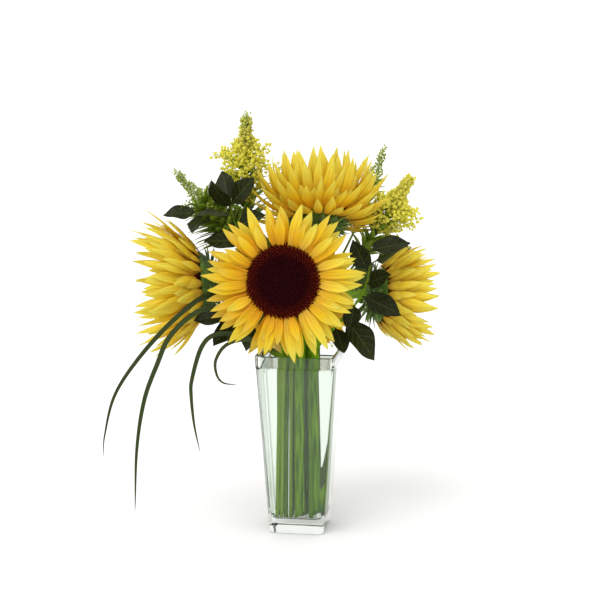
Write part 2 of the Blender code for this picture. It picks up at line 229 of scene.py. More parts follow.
def thin_sheets(middle: np.ndarray, thickness: float, chance: np.ndarray) -> Surface:
    """Closed thin sheets round middle surfaces.

    The two faces lie half the thickness to each side of the middle, along its normal, and
    draw together towards the side edges: thickness x (1 - 0.6 s^4), with s from -1 to 1 across.

    Args:
        middle: Points of shape (sheets, along, across, 3).
        thickness: The sheets' thickness.
        chance: One chance value for each sheet.

    Returns:
        All the sheets as one surface. Its third mark is 0 on the face along
        (next along) x (next across), and 1 on the other.
    """
    count, rows, columns = middle.shape[:3]
    normal = unit(np.cross(np.gradient(middle, axis=1), np.gradient(middle, axis=2)))
    s = np.linspace(-1, 1, columns)
    half = 0.5 * thickness * (1 - 0.6 * s ** 4)[None, None, :, None]
    points = np.stack([middle + normal * half, middle - normal * half], axis=1)
    face = grid_quads(rows, columns)
    size = rows * columns
    number = np.arange(size).reshape(rows, columns)
    border = np.concatenate([
        number[0, :-1], number[:-1, -1], number[-1, :0:-1], number[:0:-1, 0]
    ])
    beside = np.roll(border, -1)
    rim = np.stack([border, beside, beside + size, border + size], axis=1)
    sheet = np.concatenate([face, face[:, ::-1] + size, rim])
    starts = 2 * size * np.arange(count)
    quads = (sheet[None] + starts[:, None, None]).reshape(-1, 4)
    v, u = np.meshgrid(np.linspace(0, 1, rows), np.linspace(0, 1, columns), indexing="ij")
    uv = np.tile(np.stack([u.ravel(), v.ravel()], 1), (2 * count, 1))
    side = np.tile(np.repeat([0.0, 1.0], size), count)
    tone = np.stack([uv[:, 1], np.repeat(chance, 2 * size), side], axis=1)
    return Surface(points.reshape(-1, 3), quads, np.empty((0, 3), int), uv, tone)


def path_axes(route: np.ndarray) -> tuple[np.ndarray, np.ndarray, np.ndarray]:
    """Directions along a route that bends in about one upright plane.

    The side direction is square to the route and to the plane's normal.

    Args:
        route: Points of shape (n, 3).

    Returns:
        The unit directions ahead, to the side and upwards at each point.
    """
    ahead = unit(np.gradient(route, axis=0))
    spread = route[-1] - route[0]
    plane_normal = unit(np.cross(UP, spread + np.array((1e-6, 2e-6, 0.0))))
    side = unit(np.cross(ahead, plane_normal))
    return ahead, side, np.cross(side, ahead)


def tube(route: np.ndarray, radius: np.ndarray, sides: int, chance: float = 0.0) -> Surface:
    """A closed round stalk along a route.

    Each ring is route + radius (cos a x side + sin a x up) for the angle a round the stalk.

    Args:
        route: Points of shape (n, 3).
        radius: Radii of shape (n,) or (n, sides).
        sides: Points round the stalk.
        chance: The stalk's chance value.

    Returns:
        The stalk.
    """
    _, side, up = path_axes(route)
    angle = np.linspace(0, 2 * math.pi, sides, endpoint=False)
    reach = np.broadcast_to(radius.reshape(len(route), -1), (len(route), sides))[..., None]
    cosine, sine = np.cos(angle)[None, :, None], np.sin(angle)[None, :, None]
    outward = cosine * side[:, None] + sine * up[:, None]
    return closed_loft(route[:, None] + reach * outward, route[[0, -1]], chance)


def turned(profile: np.ndarray, steps: int) -> Surface:
    """A closed body turned about Z.

    Args:
        profile: Radius and level of each ring, from the lower pole's ring to the upper one's.
        steps: Points round the axis.

    Returns:
        The body, with its poles on the axis at the first and last level.
    """
    angle = np.linspace(0, 2 * math.pi, steps, endpoint=False)
    radius = profile[:, 0][:, None]
    level = np.broadcast_to(profile[:, 1][:, None], (len(profile), steps))
    rings = np.stack([radius * np.cos(angle), radius * np.sin(angle), level], axis=-1)
    ends = np.array([(0, 0, profile[0, 1]), (0, 0, profile[-1, 1])])
    return closed_loft(rings[:, ::-1], ends)


def copies(
    shape: Surface, axes: np.ndarray, places: np.ndarray, chance: np.ndarray, third: np.ndarray
) -> Surface:
    """Many copies of a small shape as one surface.

    Args:
        shape: The shape in its own axes.
        axes: A matrix of scaled axis columns for each copy, of shape (n, 3, 3).
        places: Each copy's place, of shape (n, 3).
        chance: Each copy's chance value.
        third: Each copy's third mark.

    Returns:
        The copies.
    """
    count, size = len(places), len(shape.points)
    points = np.einsum("nij,pj->npi", axes, shape.points) + places[:, None]
    starts = size * np.arange(count)[:, None, None]
    tone = np.stack([
        np.tile(shape.tone[:, 0], count), np.repeat(chance, size), np.repeat(third, size)
    ], axis=1)
    return Surface(
        points.reshape(-1, 3),
        (shape.quads[None] + starts).reshape(-1, 4),
        (shape.tris[None] + starts).reshape(-1, 3),
        np.tile(shape.uv, (count, 1)),
        tone,
    )


def axes_along(ahead: np.ndarray, lean: np.ndarray) -> np.ndarray:
    """Matrices whose third column runs ahead and whose first leans to another direction.

    Args:
        ahead: Unit directions of shape (n, 3).
        lean: Directions of shape (n, 3), not parallel to those ahead.

    Returns:
        Rotation matrices of shape (n, 3, 3).
    """
    second = unit(np.cross(ahead, lean))
    first = np.cross(second, ahead)
    return np.stack([first, second, ahead], axis=-1)


# ---------------------------------------------------------------------------------------------
# Finishes
# ---------------------------------------------------------------------------------------------


def linear(code: str) -> tuple[float, float, float, float]:
    """A colour written as sRGB hex digits, as linear red, green, blue and one.

    Args:
        code: Six hex digits after a hash sign.

    Returns:
        The linear colour with an alpha of one.
    """
    shares = [int(code[start:start + 2], 16) / 255 for start in (1, 3, 5)]
    red, green, blue = (
        share / 12.92 if share <= 0.04045 else ((share + 0.055) / 1.055) ** 2.4
        for share in shares
    )
    return red, green, blue, 1.0


def add_node(
    tree: bpy.types.NodeTree,
    kind: str,
    inputs: dict | None = None,
    stops: dict[float, str] | None = None,
    **settings: object,
) -> bpy.types.Node:
    """Adds one shader node with its settings and links.

    Args:
        tree: The tree that takes the node.
        kind: The node's type without its ShaderNode prefix.
        inputs: For each input's name or number, a value or an output to link from.
        stops: For a colour ramp, the colour at each position.
        settings: The node's own properties.

    Returns:
        The node.
    """
    node = tree.nodes.new("ShaderNode" + kind)
    for name, value in settings.items():
        setattr(node, name, value)
    for key, value in (inputs or {}).items():
        if isinstance(value, bpy.types.NodeSocket):
            tree.links.new(value, node.inputs[key])
        else:
            node.inputs[key].default_value = value
    if stops:
        elements = node.color_ramp.elements
        while len(elements) < len(stops):
            elements.new(0.5)
        for element, (position, code) in zip(elements, stops.items()):
            element.position = position
            element.color = linear(code)
    return node


def new_material(name: str) -> tuple[bpy.types.Material, bpy.types.NodeTree]:
    """An empty node material and its tree."""
    material = bpy.data.materials.new(name)
    material.use_nodes = True
    material.node_tree.nodes.clear()
    return material, material.node_tree


def finish_material(tree: bpy.types.NodeTree, shader: bpy.types.NodeSocket) -> None:
    """Links a shader to the material's output."""
    add_node(tree, "OutputMaterial", {"Surface": shader})


def marks(tree: bpy.types.NodeTree) -> bpy.types.Node:
    """The tone attribute's three marks as separate values."""
    tone = add_node(tree, "Attribute", attribute_name="tone")
    return add_node(tree, "SeparateColor", {"Color": tone.outputs["Color"]})


def sheet_pattern(
    tree: bpy.types.NodeTree, across: float, along: float, **settings: object
) -> bpy.types.Node:
    """A noise that follows a sheet, drawn out along it, with its own part of the noise for each.

    Args:
        tree: The tree that takes the nodes.
        across: Cycles across the sheet.
        along: Cycles along the sheet.
        settings: The noise node's own inputs by name.

    Returns:
        The noise node.
    """
    uv = add_node(tree, "UVMap", uv_map="sheet")
    own = add_node(tree, "VectorMath", {
        0: (17.0, 31.0, 5.0), "Scale": marks(tree).outputs[1],
    }, operation="SCALE")
    place = add_node(tree, "VectorMath", {
        0: uv.outputs[0], 1: (across, along, 1.0), 2: own.outputs[0],
    }, operation="MULTIPLY_ADD")
    return add_node(tree, "TexNoise", {"Vector": place.outputs[0], "Scale": 1.0, **settings})


@dataclass(frozen=True)
class PressedGlass:
    """Clear soda-lime glass, pressed in a mould: bright, faintly green, a little wavy.

    It bends light a little less than such glass does, so that its edges stay light and the
    stems behind it keep their green.
    """

    tint: str = "#F3F8F3"
    ior: float = 1.38
    wave_mm: float = 38.0
    wave_depth: float = 0.05 * MM

    def build(self) -> bpy.types.Material:
        """The glass, with the slow waviness that pressing leaves."""
        material, tree = new_material("pressed_soda_lime_glass")
        place = add_node(tree, "TexCoord")
        wave = add_node(tree, "TexNoise", {
            "Vector": place.outputs["Object"], "Scale": 1000 / self.wave_mm, "Detail": 1.0,
        })
        bump = add_node(tree, "Bump", {
            "Height": wave.outputs["Fac"], "Strength": 0.5, "Distance": self.wave_depth,
        })
        glass = add_node(tree, "BsdfPrincipled", {
            "Base Color": linear(self.tint), "Roughness": 0.0, "IOR": self.ior,
            "Transmission Weight": 1.0, "Normal": bump.outputs[0],
        })
        finish_material(tree, glass.outputs[0])
        return material


@dataclass(frozen=True)
class StillWater:
    """Fresh water: clear, with the faintest green from the stems."""

    tint: str = "#FCFEFB"
    ior: float = 1.333
    ripple_mm: float = 25.0
    ripple_depth: float = 0.03 * MM

    def build(self) -> bpy.types.Material:
        """The water, its surface almost still."""
        material, tree = new_material("still_fresh_water")
        place = add_node(tree, "TexCoord")
        ripple = add_node(tree, "TexNoise", {
            "Vector": place.outputs["Object"], "Scale": 1000 / self.ripple_mm, "Detail": 0.0,
        })
        bump = add_node(tree, "Bump", {
            "Height": ripple.outputs["Fac"], "Strength": 0.4, "Distance": self.ripple_depth,
        })
        water = add_node(tree, "BsdfPrincipled", {
            "Base Color": linear(self.tint), "Roughness": 0.0, "IOR": self.ior,
            "Transmission Weight": 1.0, "Normal": bump.outputs[0],
        })
        finish_material(tree, water.outputs[0])
        return material


@dataclass(frozen=True)
class RayPetal:
    """A fresh ray petal: satin, thin enough to glow, orange at its root and greener at its tip."""

    root: str = "#D9880C"
    lower: str = "#FABF18"
    middle: str = "#FFE01E"
    tip: str = "#F6EF66"
    # The pale colour is a random ray tone, and also painted light where a head's pale share pushes
    # all its rays to it
    pale: str = "#FFF060"
    deep: str = "#F2B214"
    glow: float = 0.44

    def build(self) -> bpy.types.Material:
        """The petal, with veins about 0.7 mm apart that run its length."""
        material, tree = new_material("ray_petal_tissue")
        mark = marks(tree)
        run = add_node(tree, "ValToRGB", {"Fac": mark.outputs[0]}, {
            0.0: self.root, 0.26: self.lower, 0.56: self.middle, 0.90: self.tip,
        })
        veins = sheet_pattern(tree, 11.0, 0.8, Detail=2.0, Roughness=0.6)
        # Each ray's chance colour runs from deep to pale; on heads given a pale share the pale end
        # is painted light, brightening heads that the lamp lights less
        chance = add_node(tree, "ValToRGB", {"Fac": mark.outputs[1]}, {
            0.0: self.deep, 0.5: self.middle, 1.0: self.pale,
        })
        own = add_node(tree, "Mix", {
            0: 0.42, 6: run.outputs["Color"], 7: chance.outputs["Color"],
        }, data_type="RGBA")
        line = add_node(tree, "MapRange", {
            "Value": veins.outputs["Fac"], "From Min": 0.35, "From Max": 0.62,
            "To Min": 0.80, "To Max": 1.0,
        })
        lined = add_node(tree, "Mix", {
            0: 1.0, 6: own.outputs[2], 7: line.outputs[0],
        }, data_type="RGBA", blend_type="MULTIPLY")
        bump = add_node(tree, "Bump", {
            "Height": veins.outputs["Fac"], "Strength": 0.5, "Distance": 0.5 * MM,
        })
        skin = add_node(tree, "BsdfPrincipled", {
            "Base Color": lined.outputs[2], "Roughness": 0.52, "IOR": 1.4,
            "Specular IOR Level": 0.35, "Normal": bump.outputs[0],
        })
        through = add_node(tree, "BsdfTranslucent", {"Color": lined.outputs[2]})
        both = add_node(tree, "MixShader", {
            0: self.glow, 1: skin.outputs[0], 2: through.outputs[0],
        })
        finish_material(tree, both.outputs[0])
        return material


@dataclass(frozen=True)
class DiscFloret:
    """Packed disc florets: dry, velvety and near black, with maroon tips towards the rim."""

    heart: str = "#1C0206"
    middle: str = "#2B0307"
    rim: str = "#470A05"
    tip_heart: str = "#2E060A"
    tip_rim: str = "#6E2008"

    def build(self) -> bpy.types.Material:
        """The florets, their colour set by how far out they stand and by their own height."""
        material, tree = new_material("velvety_disc_florets")
        mark = marks(tree)
        body = add_node(tree, "ValToRGB", {"Fac": mark.outputs[2]}, {
            0.0: self.heart, 0.6: self.middle, 1.0: self.rim,
        })
        crown = add_node(tree, "ValToRGB", {"Fac": mark.outputs[2]}, {
            0.0: self.tip_heart, 0.65: self.middle, 1.0: self.tip_rim,
        })
        height = add_node(tree, "MapRange", {
            "Value": mark.outputs[0], "From Min": 0.55, "From Max": 1.0,
        })
        colour = add_node(tree, "Mix", {
            0: height.outputs[0], 6: body.outputs["Color"], 7: crown.outputs["Color"],
        }, data_type="RGBA")
        spread = add_node(tree, "MapRange", {
            "Value": mark.outputs[1], "To Min": 0.7, "To Max": 1.3,
        })
        varied = add_node(tree, "Mix", {
            0: 1.0, 6: colour.outputs[2], 7: spread.outputs[0],
        }, data_type="RGBA", blend_type="MULTIPLY")
        skin = add_node(tree, "BsdfPrincipled", {
            "Base Color": varied.outputs[2], "Roughness": 0.9, "Specular IOR Level": 0.06,
        })
        finish_material(tree, skin.outputs[0])
        return material


@dataclass(frozen=True)
class GreenTissue:
    """A stem, bract or twig: a skin with streaks drawn out along it and a soft bloom.

    The streaks run from the dark colour to the light one. Over the change, in shares of the
    way along, the skin takes up to the end share of the end colour.
    """

    name: str
    dark: str
    light: str
    end: str
    streaks: float
    run: float
    roughness: float = 0.55
    relief: float = 0.3 * MM
    fuzz: float = 0.0
    change: tuple[float, float] = (0.45, 1.0)
    end_share: float = 0.75
    gloss: float = 0.05

    def build(self) -> bpy.types.Material:
        """The skin, streaked, with its relief from the same pattern."""
        material, tree = new_material(self.name)
        mark = marks(tree)
        streak = sheet_pattern(tree, self.streaks, self.run, Detail=3.0, Roughness=0.55)
        skin_colour = add_node(tree, "ValToRGB", {"Fac": streak.outputs["Fac"]}, {
            0.32: self.dark, 0.68: self.light,
        })
        far = add_node(tree, "MapRange", {
            "Value": mark.outputs[0], "From Min": self.change[0], "From Max": self.change[1],
            "To Max": self.end_share,
        })
        aged = add_node(tree, "Mix", {
            0: far.outputs[0], 6: skin_colour.outputs["Color"], 7: linear(self.end),
        }, data_type="RGBA")
        spread = add_node(tree, "MapRange", {
            "Value": mark.outputs[1], "To Min": 0.82, "To Max": 1.18,
        })
        varied = add_node(tree, "Mix", {
            0: 1.0, 6: aged.outputs[2], 7: spread.outputs[0],
        }, data_type="RGBA", blend_type="MULTIPLY")
        bump = add_node(tree, "Bump", {
            "Height": streak.outputs["Fac"], "Strength": 0.6, "Distance": self.relief,
        })
        skin = add_node(tree, "BsdfPrincipled", {
            "Base Color": varied.outputs[2], "Roughness": self.roughness,
            "Specular IOR Level": self.gloss, "Sheen Weight": self.fuzz, "Sheen Roughness": 0.5,
            "Normal": bump.outputs[0],
        })
        finish_material(tree, skin.outputs[0])
        return material


@dataclass(frozen=True)
class GoldenrodFloret:
    """Tiny goldenrod heads, most of them just open: powdery yellow over pale green cups.

    They are thin enough for light to come through, by the glow share, which keeps the plume's
    middle light.
    """

    cup: str = "#F2EF88"
    green: str = "#C8D888"
    bud: str = "#F8F486"
    open: str = "#FFFA7C"
    glow: float = 0.60

    def build(self) -> bpy.types.Material:
        """The heads, green at the foot and yellow at the mouth where they have opened."""
        material, tree = new_material("goldenrod_florets")
        mark = marks(tree)
        ripe = add_node(tree, "ValToRGB", {"Fac": mark.outputs[2]}, {
            0.15: self.green, 0.5: self.bud, 0.85: self.open,
        })
        height = add_node(tree, "MapRange", {
            "Value": mark.outputs[0], "From Min": 0.2, "From Max": 0.6,
        })
        colour = add_node(tree, "Mix", {
            0: height.outputs[0], 6: linear(self.cup), 7: ripe.outputs["Color"],
        }, data_type="RGBA")
        skin = add_node(tree, "BsdfPrincipled", {
            "Base Color": colour.outputs[2], "Roughness": 0.7, "Specular IOR Level": 0.2,
        })
        through = add_node(tree, "BsdfTranslucent", {"Color": colour.outputs[2]})
        both = add_node(tree, "MixShader", {
            0: self.glow, 1: skin.outputs[0], 2: through.outputs[0],
        })
        finish_material(tree, both.outputs[0])
        return material


@dataclass(frozen=True)
class SalalLeaf:
    """A leathery evergreen leaf: dark and waxy above with sunk veins, paler and matt beneath."""

    upper: str = "#171A03"
    blotch: str = "#262B06"
    vein: str = "#3A4820"
    under: str = "#3E4C20"
    pairs: float = 6.0

    def build(self) -> bpy.types.Material:
        """The leaf: a pale midrib and side veins, and a waxy coat over the upper face."""
        material, tree = new_material("waxy_evergreen_leaf")
        mark = marks(tree)
        blotches = sheet_pattern(tree, 5.0, 9.0, Detail=4.0, Roughness=0.6)
        face = add_node(tree, "ValToRGB", {"Fac": blotches.outputs["Fac"]}, {
            0.35: self.upper, 0.75: self.blotch,
        })
        uv = add_node(tree, "UVMap", uv_map="sheet")
        part = add_node(tree, "SeparateXYZ", {"Vector": uv.outputs[0]})
        across = add_node(tree, "Math", {0: part.outputs[0], 1: 0.5}, operation="SUBTRACT")
        out = add_node(tree, "Math", {0: across.outputs[0]}, operation="ABSOLUTE")
        rib = add_node(tree, "MapRange", {
            "Value": out.outputs[0], "From Min": 0.008, "From Max": 0.03, "To Min": 1.0,
            "To Max": 0.0,
        })
        slant = add_node(tree, "Math", {
            0: out.outputs[0], 1: -0.55, 2: part.outputs[1],
        }, operation="MULTIPLY_ADD")
        wave = add_node(tree, "Math", {0: slant.outputs[0], 1: self.pairs}, operation="MULTIPLY")
        saw = add_node(tree, "Math", {0: wave.outputs[0]}, operation="FRACT")
        middle = add_node(tree, "Math", {0: saw.outputs[0], 1: 0.5}, operation="SUBTRACT")
        near = add_node(tree, "Math", {0: middle.outputs[0]}, operation="ABSOLUTE")
        side_vein = add_node(tree, "MapRange", {
            "Value": near.outputs[0], "From Min": 0.02, "From Max": 0.09, "To Min": 0.55,
            "To Max": 0.0,
        })
        lines = add_node(tree, "Math", {
            0: rib.outputs[0], 1: side_vein.outputs[0],
        }, operation="MAXIMUM")
        veined = add_node(tree, "Mix", {
            0: lines.outputs[0], 6: face.outputs["Color"], 7: linear(self.vein),
        }, data_type="RGBA")
        colour = add_node(tree, "Mix", {
            0: mark.outputs[2], 6: veined.outputs[2], 7: linear(self.under),
        }, data_type="RGBA")
        spread = add_node(tree, "MapRange", {
            "Value": mark.outputs[1], "To Min": 0.8, "To Max": 1.25,
        })
        varied = add_node(tree, "Mix", {
            0: 1.0, 6: colour.outputs[2], 7: spread.outputs[0],
        }, data_type="RGBA", blend_type="MULTIPLY")
        gloss = add_node(tree, "MapRange", {
            "Value": mark.outputs[2], "To Min": 0.38, "To Max": 0.65,
        })
        bump = add_node(tree, "Bump", {
            "Height": lines.outputs[0], "Strength": 0.5, "Distance": 0.3 * MM,
        }, invert=True)
        skin = add_node(tree, "BsdfPrincipled", {
            "Base Color": varied.outputs[2], "Roughness": gloss.outputs[0], "IOR": 1.42,
            "Specular IOR Level": 0.16, "Normal": bump.outputs[0],
        })
        finish_material(tree, skin.outputs[0])
        return material


@dataclass(frozen=True)
class StudioFloor:
    """Matt white paper."""

    colour: str = "#F6F6F6"

    def build(self) -> bpy.types.Material:
        """The paper."""
        material, tree = new_material("studio_floor")
        paper = add_node(tree, "BsdfPrincipled", {
            "Base Color": linear(self.colour), "Roughness": 0.9, "Specular IOR Level": 0.1,
        })
        finish_material(tree, paper.outputs[0])
        return material


@dataclass
class Finishes:
    """Every finish of the part, built once."""

    by_slot: dict[Slot, bpy.types.Material] = field(default_factory=dict)
    stalk: bpy.types.Material | None = None

    def build(self) -> "Finishes":
        """Builds each slot's material."""
        makers = {
            Slot.GLASS: PressedGlass(),
            Slot.WATER: StillWater(),
            Slot.STEM: GreenTissue(
                "bristly_sunflower_stem", "#467F02", "#A2D020", "#7FA044", 5.0, 14.0,
                relief=0.4 * MM,
            ),
            Slot.CALYX: GreenTissue(
                "hairy_sunflower_bracts", "#3E5C1C", "#6F8E36", "#86A048", 6.0, 5.0,
                roughness=0.65, fuzz=0.2,
            ),
            Slot.PETAL: RayPetal(),
            Slot.DISC: DiscFloret(),
            Slot.GOLDENROD: GoldenrodFloret(),
            Slot.TWIG: GreenTissue(
                "salal_bark", "#5C9408", "#98C42A", "#4A3A1E", 5.0, 26.0, roughness=0.6,
            ),
            Slot.LEAF: SalalLeaf(),
            Slot.GRASS: GreenTissue(
                "lily_grass_skin", "#6A9A0C", "#A8C838", "#1E240E", 9.0, 3.0, roughness=0.42,
                relief=0.2 * MM, change=(0.10, 0.22), end_share=0.94, gloss=0.2,
            ),
        }
        self.by_slot = {slot: maker.build() for slot, maker in makers.items()}
        self.stalk = GreenTissue(
            "goldenrod_stalk", "#4E7416", "#8EA636", "#98AE46", 5.0, 30.0
        ).build()
        return self

    def dress(
        self,
        piece: bpy.types.Object,
        slot: Slot,
        *nodes: str,
        finish: bpy.types.Material | None = None,
    ) -> bpy.types.Object:
        """Gives a piece its finish and its body, and hides the CAD nodes that it stands for.

        Args:
            piece: The new piece.
            slot: The material slot that it takes.
            nodes: The CAD nodes that it replaces.
            finish: Its own material, where that isn't the slot's first one.

        Returns:
            The same piece.
        """
        piece.data.materials.append(finish or self.by_slot[slot])
        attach(piece, "root")
        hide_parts(*nodes)
        LOG.info("%s: %d faces for %s", piece.name, len(piece.data.polygons), ", ".join(nodes))
        return piece


# ---------------------------------------------------------------------------------------------
# The vase and its water
# ---------------------------------------------------------------------------------------------


def rounded_square(half: np.ndarray, corner: np.ndarray, level: np.ndarray) -> np.ndarray:
    """Level rings shaped as squares with round corners.

    Each corner is an arc about (half - corner) along both axes, and straight runs join them.

    Args:
        half: Half of each ring's width.
        corner: Each ring's corner radius.
        level: Each ring's height.

    Returns:
        Points of shape (rings, around, 3), anticlockwise seen from above.
    """
    arc = np.linspace(0, math.pi / 2, 9)
    run = np.linspace(-1, 1, 9)[1:-1]
    corners = []
    for quarter in range(4):
        turn = quarter * math.pi / 2
        middle = np.array((math.cos(turn) - math.sin(turn), math.sin(turn) + math.cos(turn)))
        out = np.stack([np.cos(arc + turn), np.sin(arc + turn)], axis=1)
        inner = (half - corner)[:, None, None]
        bend = inner * middle + corner[:, None, None] * out
        ahead = np.array((-math.sin(turn), math.cos(turn)))
        flat = half[:, None, None] * ahead + inner * run[:, None] * np.array(
            (-math.cos(turn), -math.sin(turn))
        )
        corners += [bend, flat]
    ring = np.concatenate(corners, axis=1)
    height = np.broadcast_to(level[:, None, None], (*ring.shape[:2], 1))
    return np.concatenate([ring, height], axis=2)


@dataclass
class GlassVase:
    """The tapered square vase: one wall of pressed glass on a thick floor, and its water."""

    wall: float = 4 * MM
    floor: float = 16 * MM
    corner: float = 7 * MM
    lip: float = 1.6 * MM
    base_share: float = 61 / 89
    overlap: float = 0.08 * MM

    def __post_init__(self) -> None:
        """Takes the vase's height and top width, and the water's level, from the frame."""
        low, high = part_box("vase")
        self.height = high[2]
        self.top = high[0] - low[0]
        self.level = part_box("water")[1][2]

    def half(self, level: np.ndarray) -> np.ndarray:
        """Half of the outer width, which grows evenly from the base to the top."""
        return 0.5 * self.top * (self.base_share + (1 - self.base_share) * level / self.height)

    def glass(self) -> Surface:
        """The glass: its outline runs from under the base, up the outside, over and down."""
        def arc(start: float, end: float, steps: int) -> np.ndarray:
            """Even angles in radians between two in degrees."""
            return np.radians(np.linspace(start, end, steps))

        foot = arc(-90, 0, 6)
        foot_radius = 2.2 * MM
        lip_out = arc(0, 90, 5)
        lip_in = arc(90, 180, 5)
        well = arc(0, -90, 6)
        well_radius = 5 * MM
        inset = np.concatenate([
            [0.85, 0.5, 0.2] * self.half(np.zeros(3)), foot_radius * (1 - np.cos(foot)),
            np.zeros(14), self.lip * (1 - np.cos(lip_out)),
            self.wall - self.lip * (1 + np.cos(lip_in)), np.full(14, self.wall),
            self.wall + well_radius * (1 - np.cos(well)),
            self.wall + [0.35, 0.6, 0.9] * (self.half(np.zeros(3)) - self.wall),
        ])
        rise = np.linspace(foot_radius, self.height - self.lip, 16)[1:-1]
        fall = np.linspace(self.height - self.lip, self.floor + well_radius, 16)[1:-1]
        level = np.concatenate([
            np.array((0.6, 0.6, 0.2)) * MM, foot_radius * (1 + np.sin(foot)), rise,
            self.height - self.lip * (1 - np.sin(lip_out)),
            self.height - self.lip * (1 - np.sin(lip_in)), fall,
            self.floor + well_radius * (1 + np.sin(well)),
            self.floor + np.array((0.0, 0.15, 0.3)) * MM,
        ])
        half = self.half(level) - inset
        corner = np.clip(self.corner - 0.6 * inset, 1.2 * MM, 0.9 * half)
        rings = rounded_square(half, corner, level)
        ends = np.array([(0, 0, 0.6 * MM), (0, 0, self.floor + 0.3 * MM)])
        return closed_loft(rings[:, ::-1], ends)

    def water(self) -> Surface:
        """The water, a hair wider than the glass's inside, its edge drawn up the wall."""
        climb = 2.2 * MM
        creep = np.linspace(0, 1, 8)
        level = np.concatenate([
            np.full(3, self.floor), self.floor + 5 * MM * np.array((0.02, 0.3, 1.0)),
            np.linspace(self.floor + 5 * MM, self.level - 0.5 * climb, 10)[1:],
            self.level + climb * (1 - creep) ** 2 - 0.2 * MM,
        ]) - self.overlap
        inset = self.wall - self.overlap + np.concatenate([
            np.array((0.9, 0.6, 0.25)) * 0.5 * self.base_share * self.top,
            np.array((3.8, 1.5, 0.0)) * MM, np.zeros(9), 12 * MM * creep ** 1.5,
        ])
        half = self.half(level) - inset
        corner = np.clip(self.corner - 0.6 * inset, 1.2 * MM, 0.9 * half)
        rings = rounded_square(half, corner, level)
        ends = np.array([(0, 0, level[0]), (0, 0, level[-1])])
        return closed_loft(rings[:, ::-1], ends)

    def make(self, finishes: Finishes) -> None:
        """Makes the glass and the water."""
        finishes.dress(self.glass().to_object("glass_body"), Slot.GLASS, "vase")
        finishes.dress(self.water().to_object("water_fill"), Slot.WATER, "water")


# ---------------------------------------------------------------------------------------------
# The bunch
# ---------------------------------------------------------------------------------------------


@dataclass(frozen=True)
class Bunch:
    """The bunch's own axes, turned in the vase, and the way its stems stand."""

    turn: float = math.radians(9)
    foot_level: float = 16.5 * MM
    rim_level: float = 197 * MM
    waist: float = 0.85
    collar: float = 5 * MM

    def placed(self, surface: Surface) -> Surface:
        """A surface turned from the bunch's axes into the frame's."""
        cosine, sine = math.cos(self.turn), math.sin(self.turn)
        matrix = np.array(((cosine, -sine, 0), (sine, cosine, 0), (0, 0, 1)))
        return surface.moved(matrix, np.zeros(3))

    def upright(self, foot: tuple[float, float], level: np.ndarray) -> np.ndarray:
        """Points of a straight stem that leans in from its foot to the bunch's waist.

        Args:
            foot: The stem's foot in millimetres, across and back.
            level: Heights of the points.

        Returns:
            Points of shape (n, 3).
        """
        share = (level - self.foot_level) / (self.rim_level - self.foot_level)
        scale = (1 + (self.waist - 1) * share) * MM
        return np.stack([foot[0] * scale, foot[1] * scale, level], axis=1)

    def stem(
        self, foot: tuple[float, float], end: np.ndarray, heading: np.ndarray, lean: float = 0.0
    ) -> np.ndarray:
        """A stem's route: straight through the vase, a cubic curve, and a short straight end.

        Args:
            foot: The stem's foot in millimetres.
            end: Where the stem ends.
            heading: The direction in which it ends.
            lean: How far it tips towards its end where it leaves the vase.

        Returns:
            Points of shape (n, 3), with the bend at the rim eased.
        """
        straight = self.upright(foot, np.linspace(self.foot_level, self.rim_level, 19))
        rim = straight[-1]
        heading = unit(np.asarray(heading, float))
        close = end - heading * self.collar
        outward = unit(np.array((end[0] - rim[0], end[1] - rim[1], 0.0)))
        start = unit(unit(rim - straight[0]) + lean * outward)
        reach = 0.40 * np.linalg.norm(close - rim)
        t = np.linspace(0, 1, 34)[:, None]
        s = 1 - t
        curve = (
            s ** 3 * rim + 3 * s * s * t * (rim + start * reach)
            + 3 * s * t * t * (close - heading * reach) + t ** 3 * close
        )
        route = np.concatenate([straight[:-1], curve, [end]])
        for _ in range(4):
            route[1:-1] = 0.25 * route[:-2] + 0.5 * route[1:-1] + 0.25 * route[2:]
        return route


def chance_values(count: int, seed: int) -> np.ndarray:
    """Chance values from 0 to 1, the same on each run."""
    return np.random.default_rng(seed).random(count)


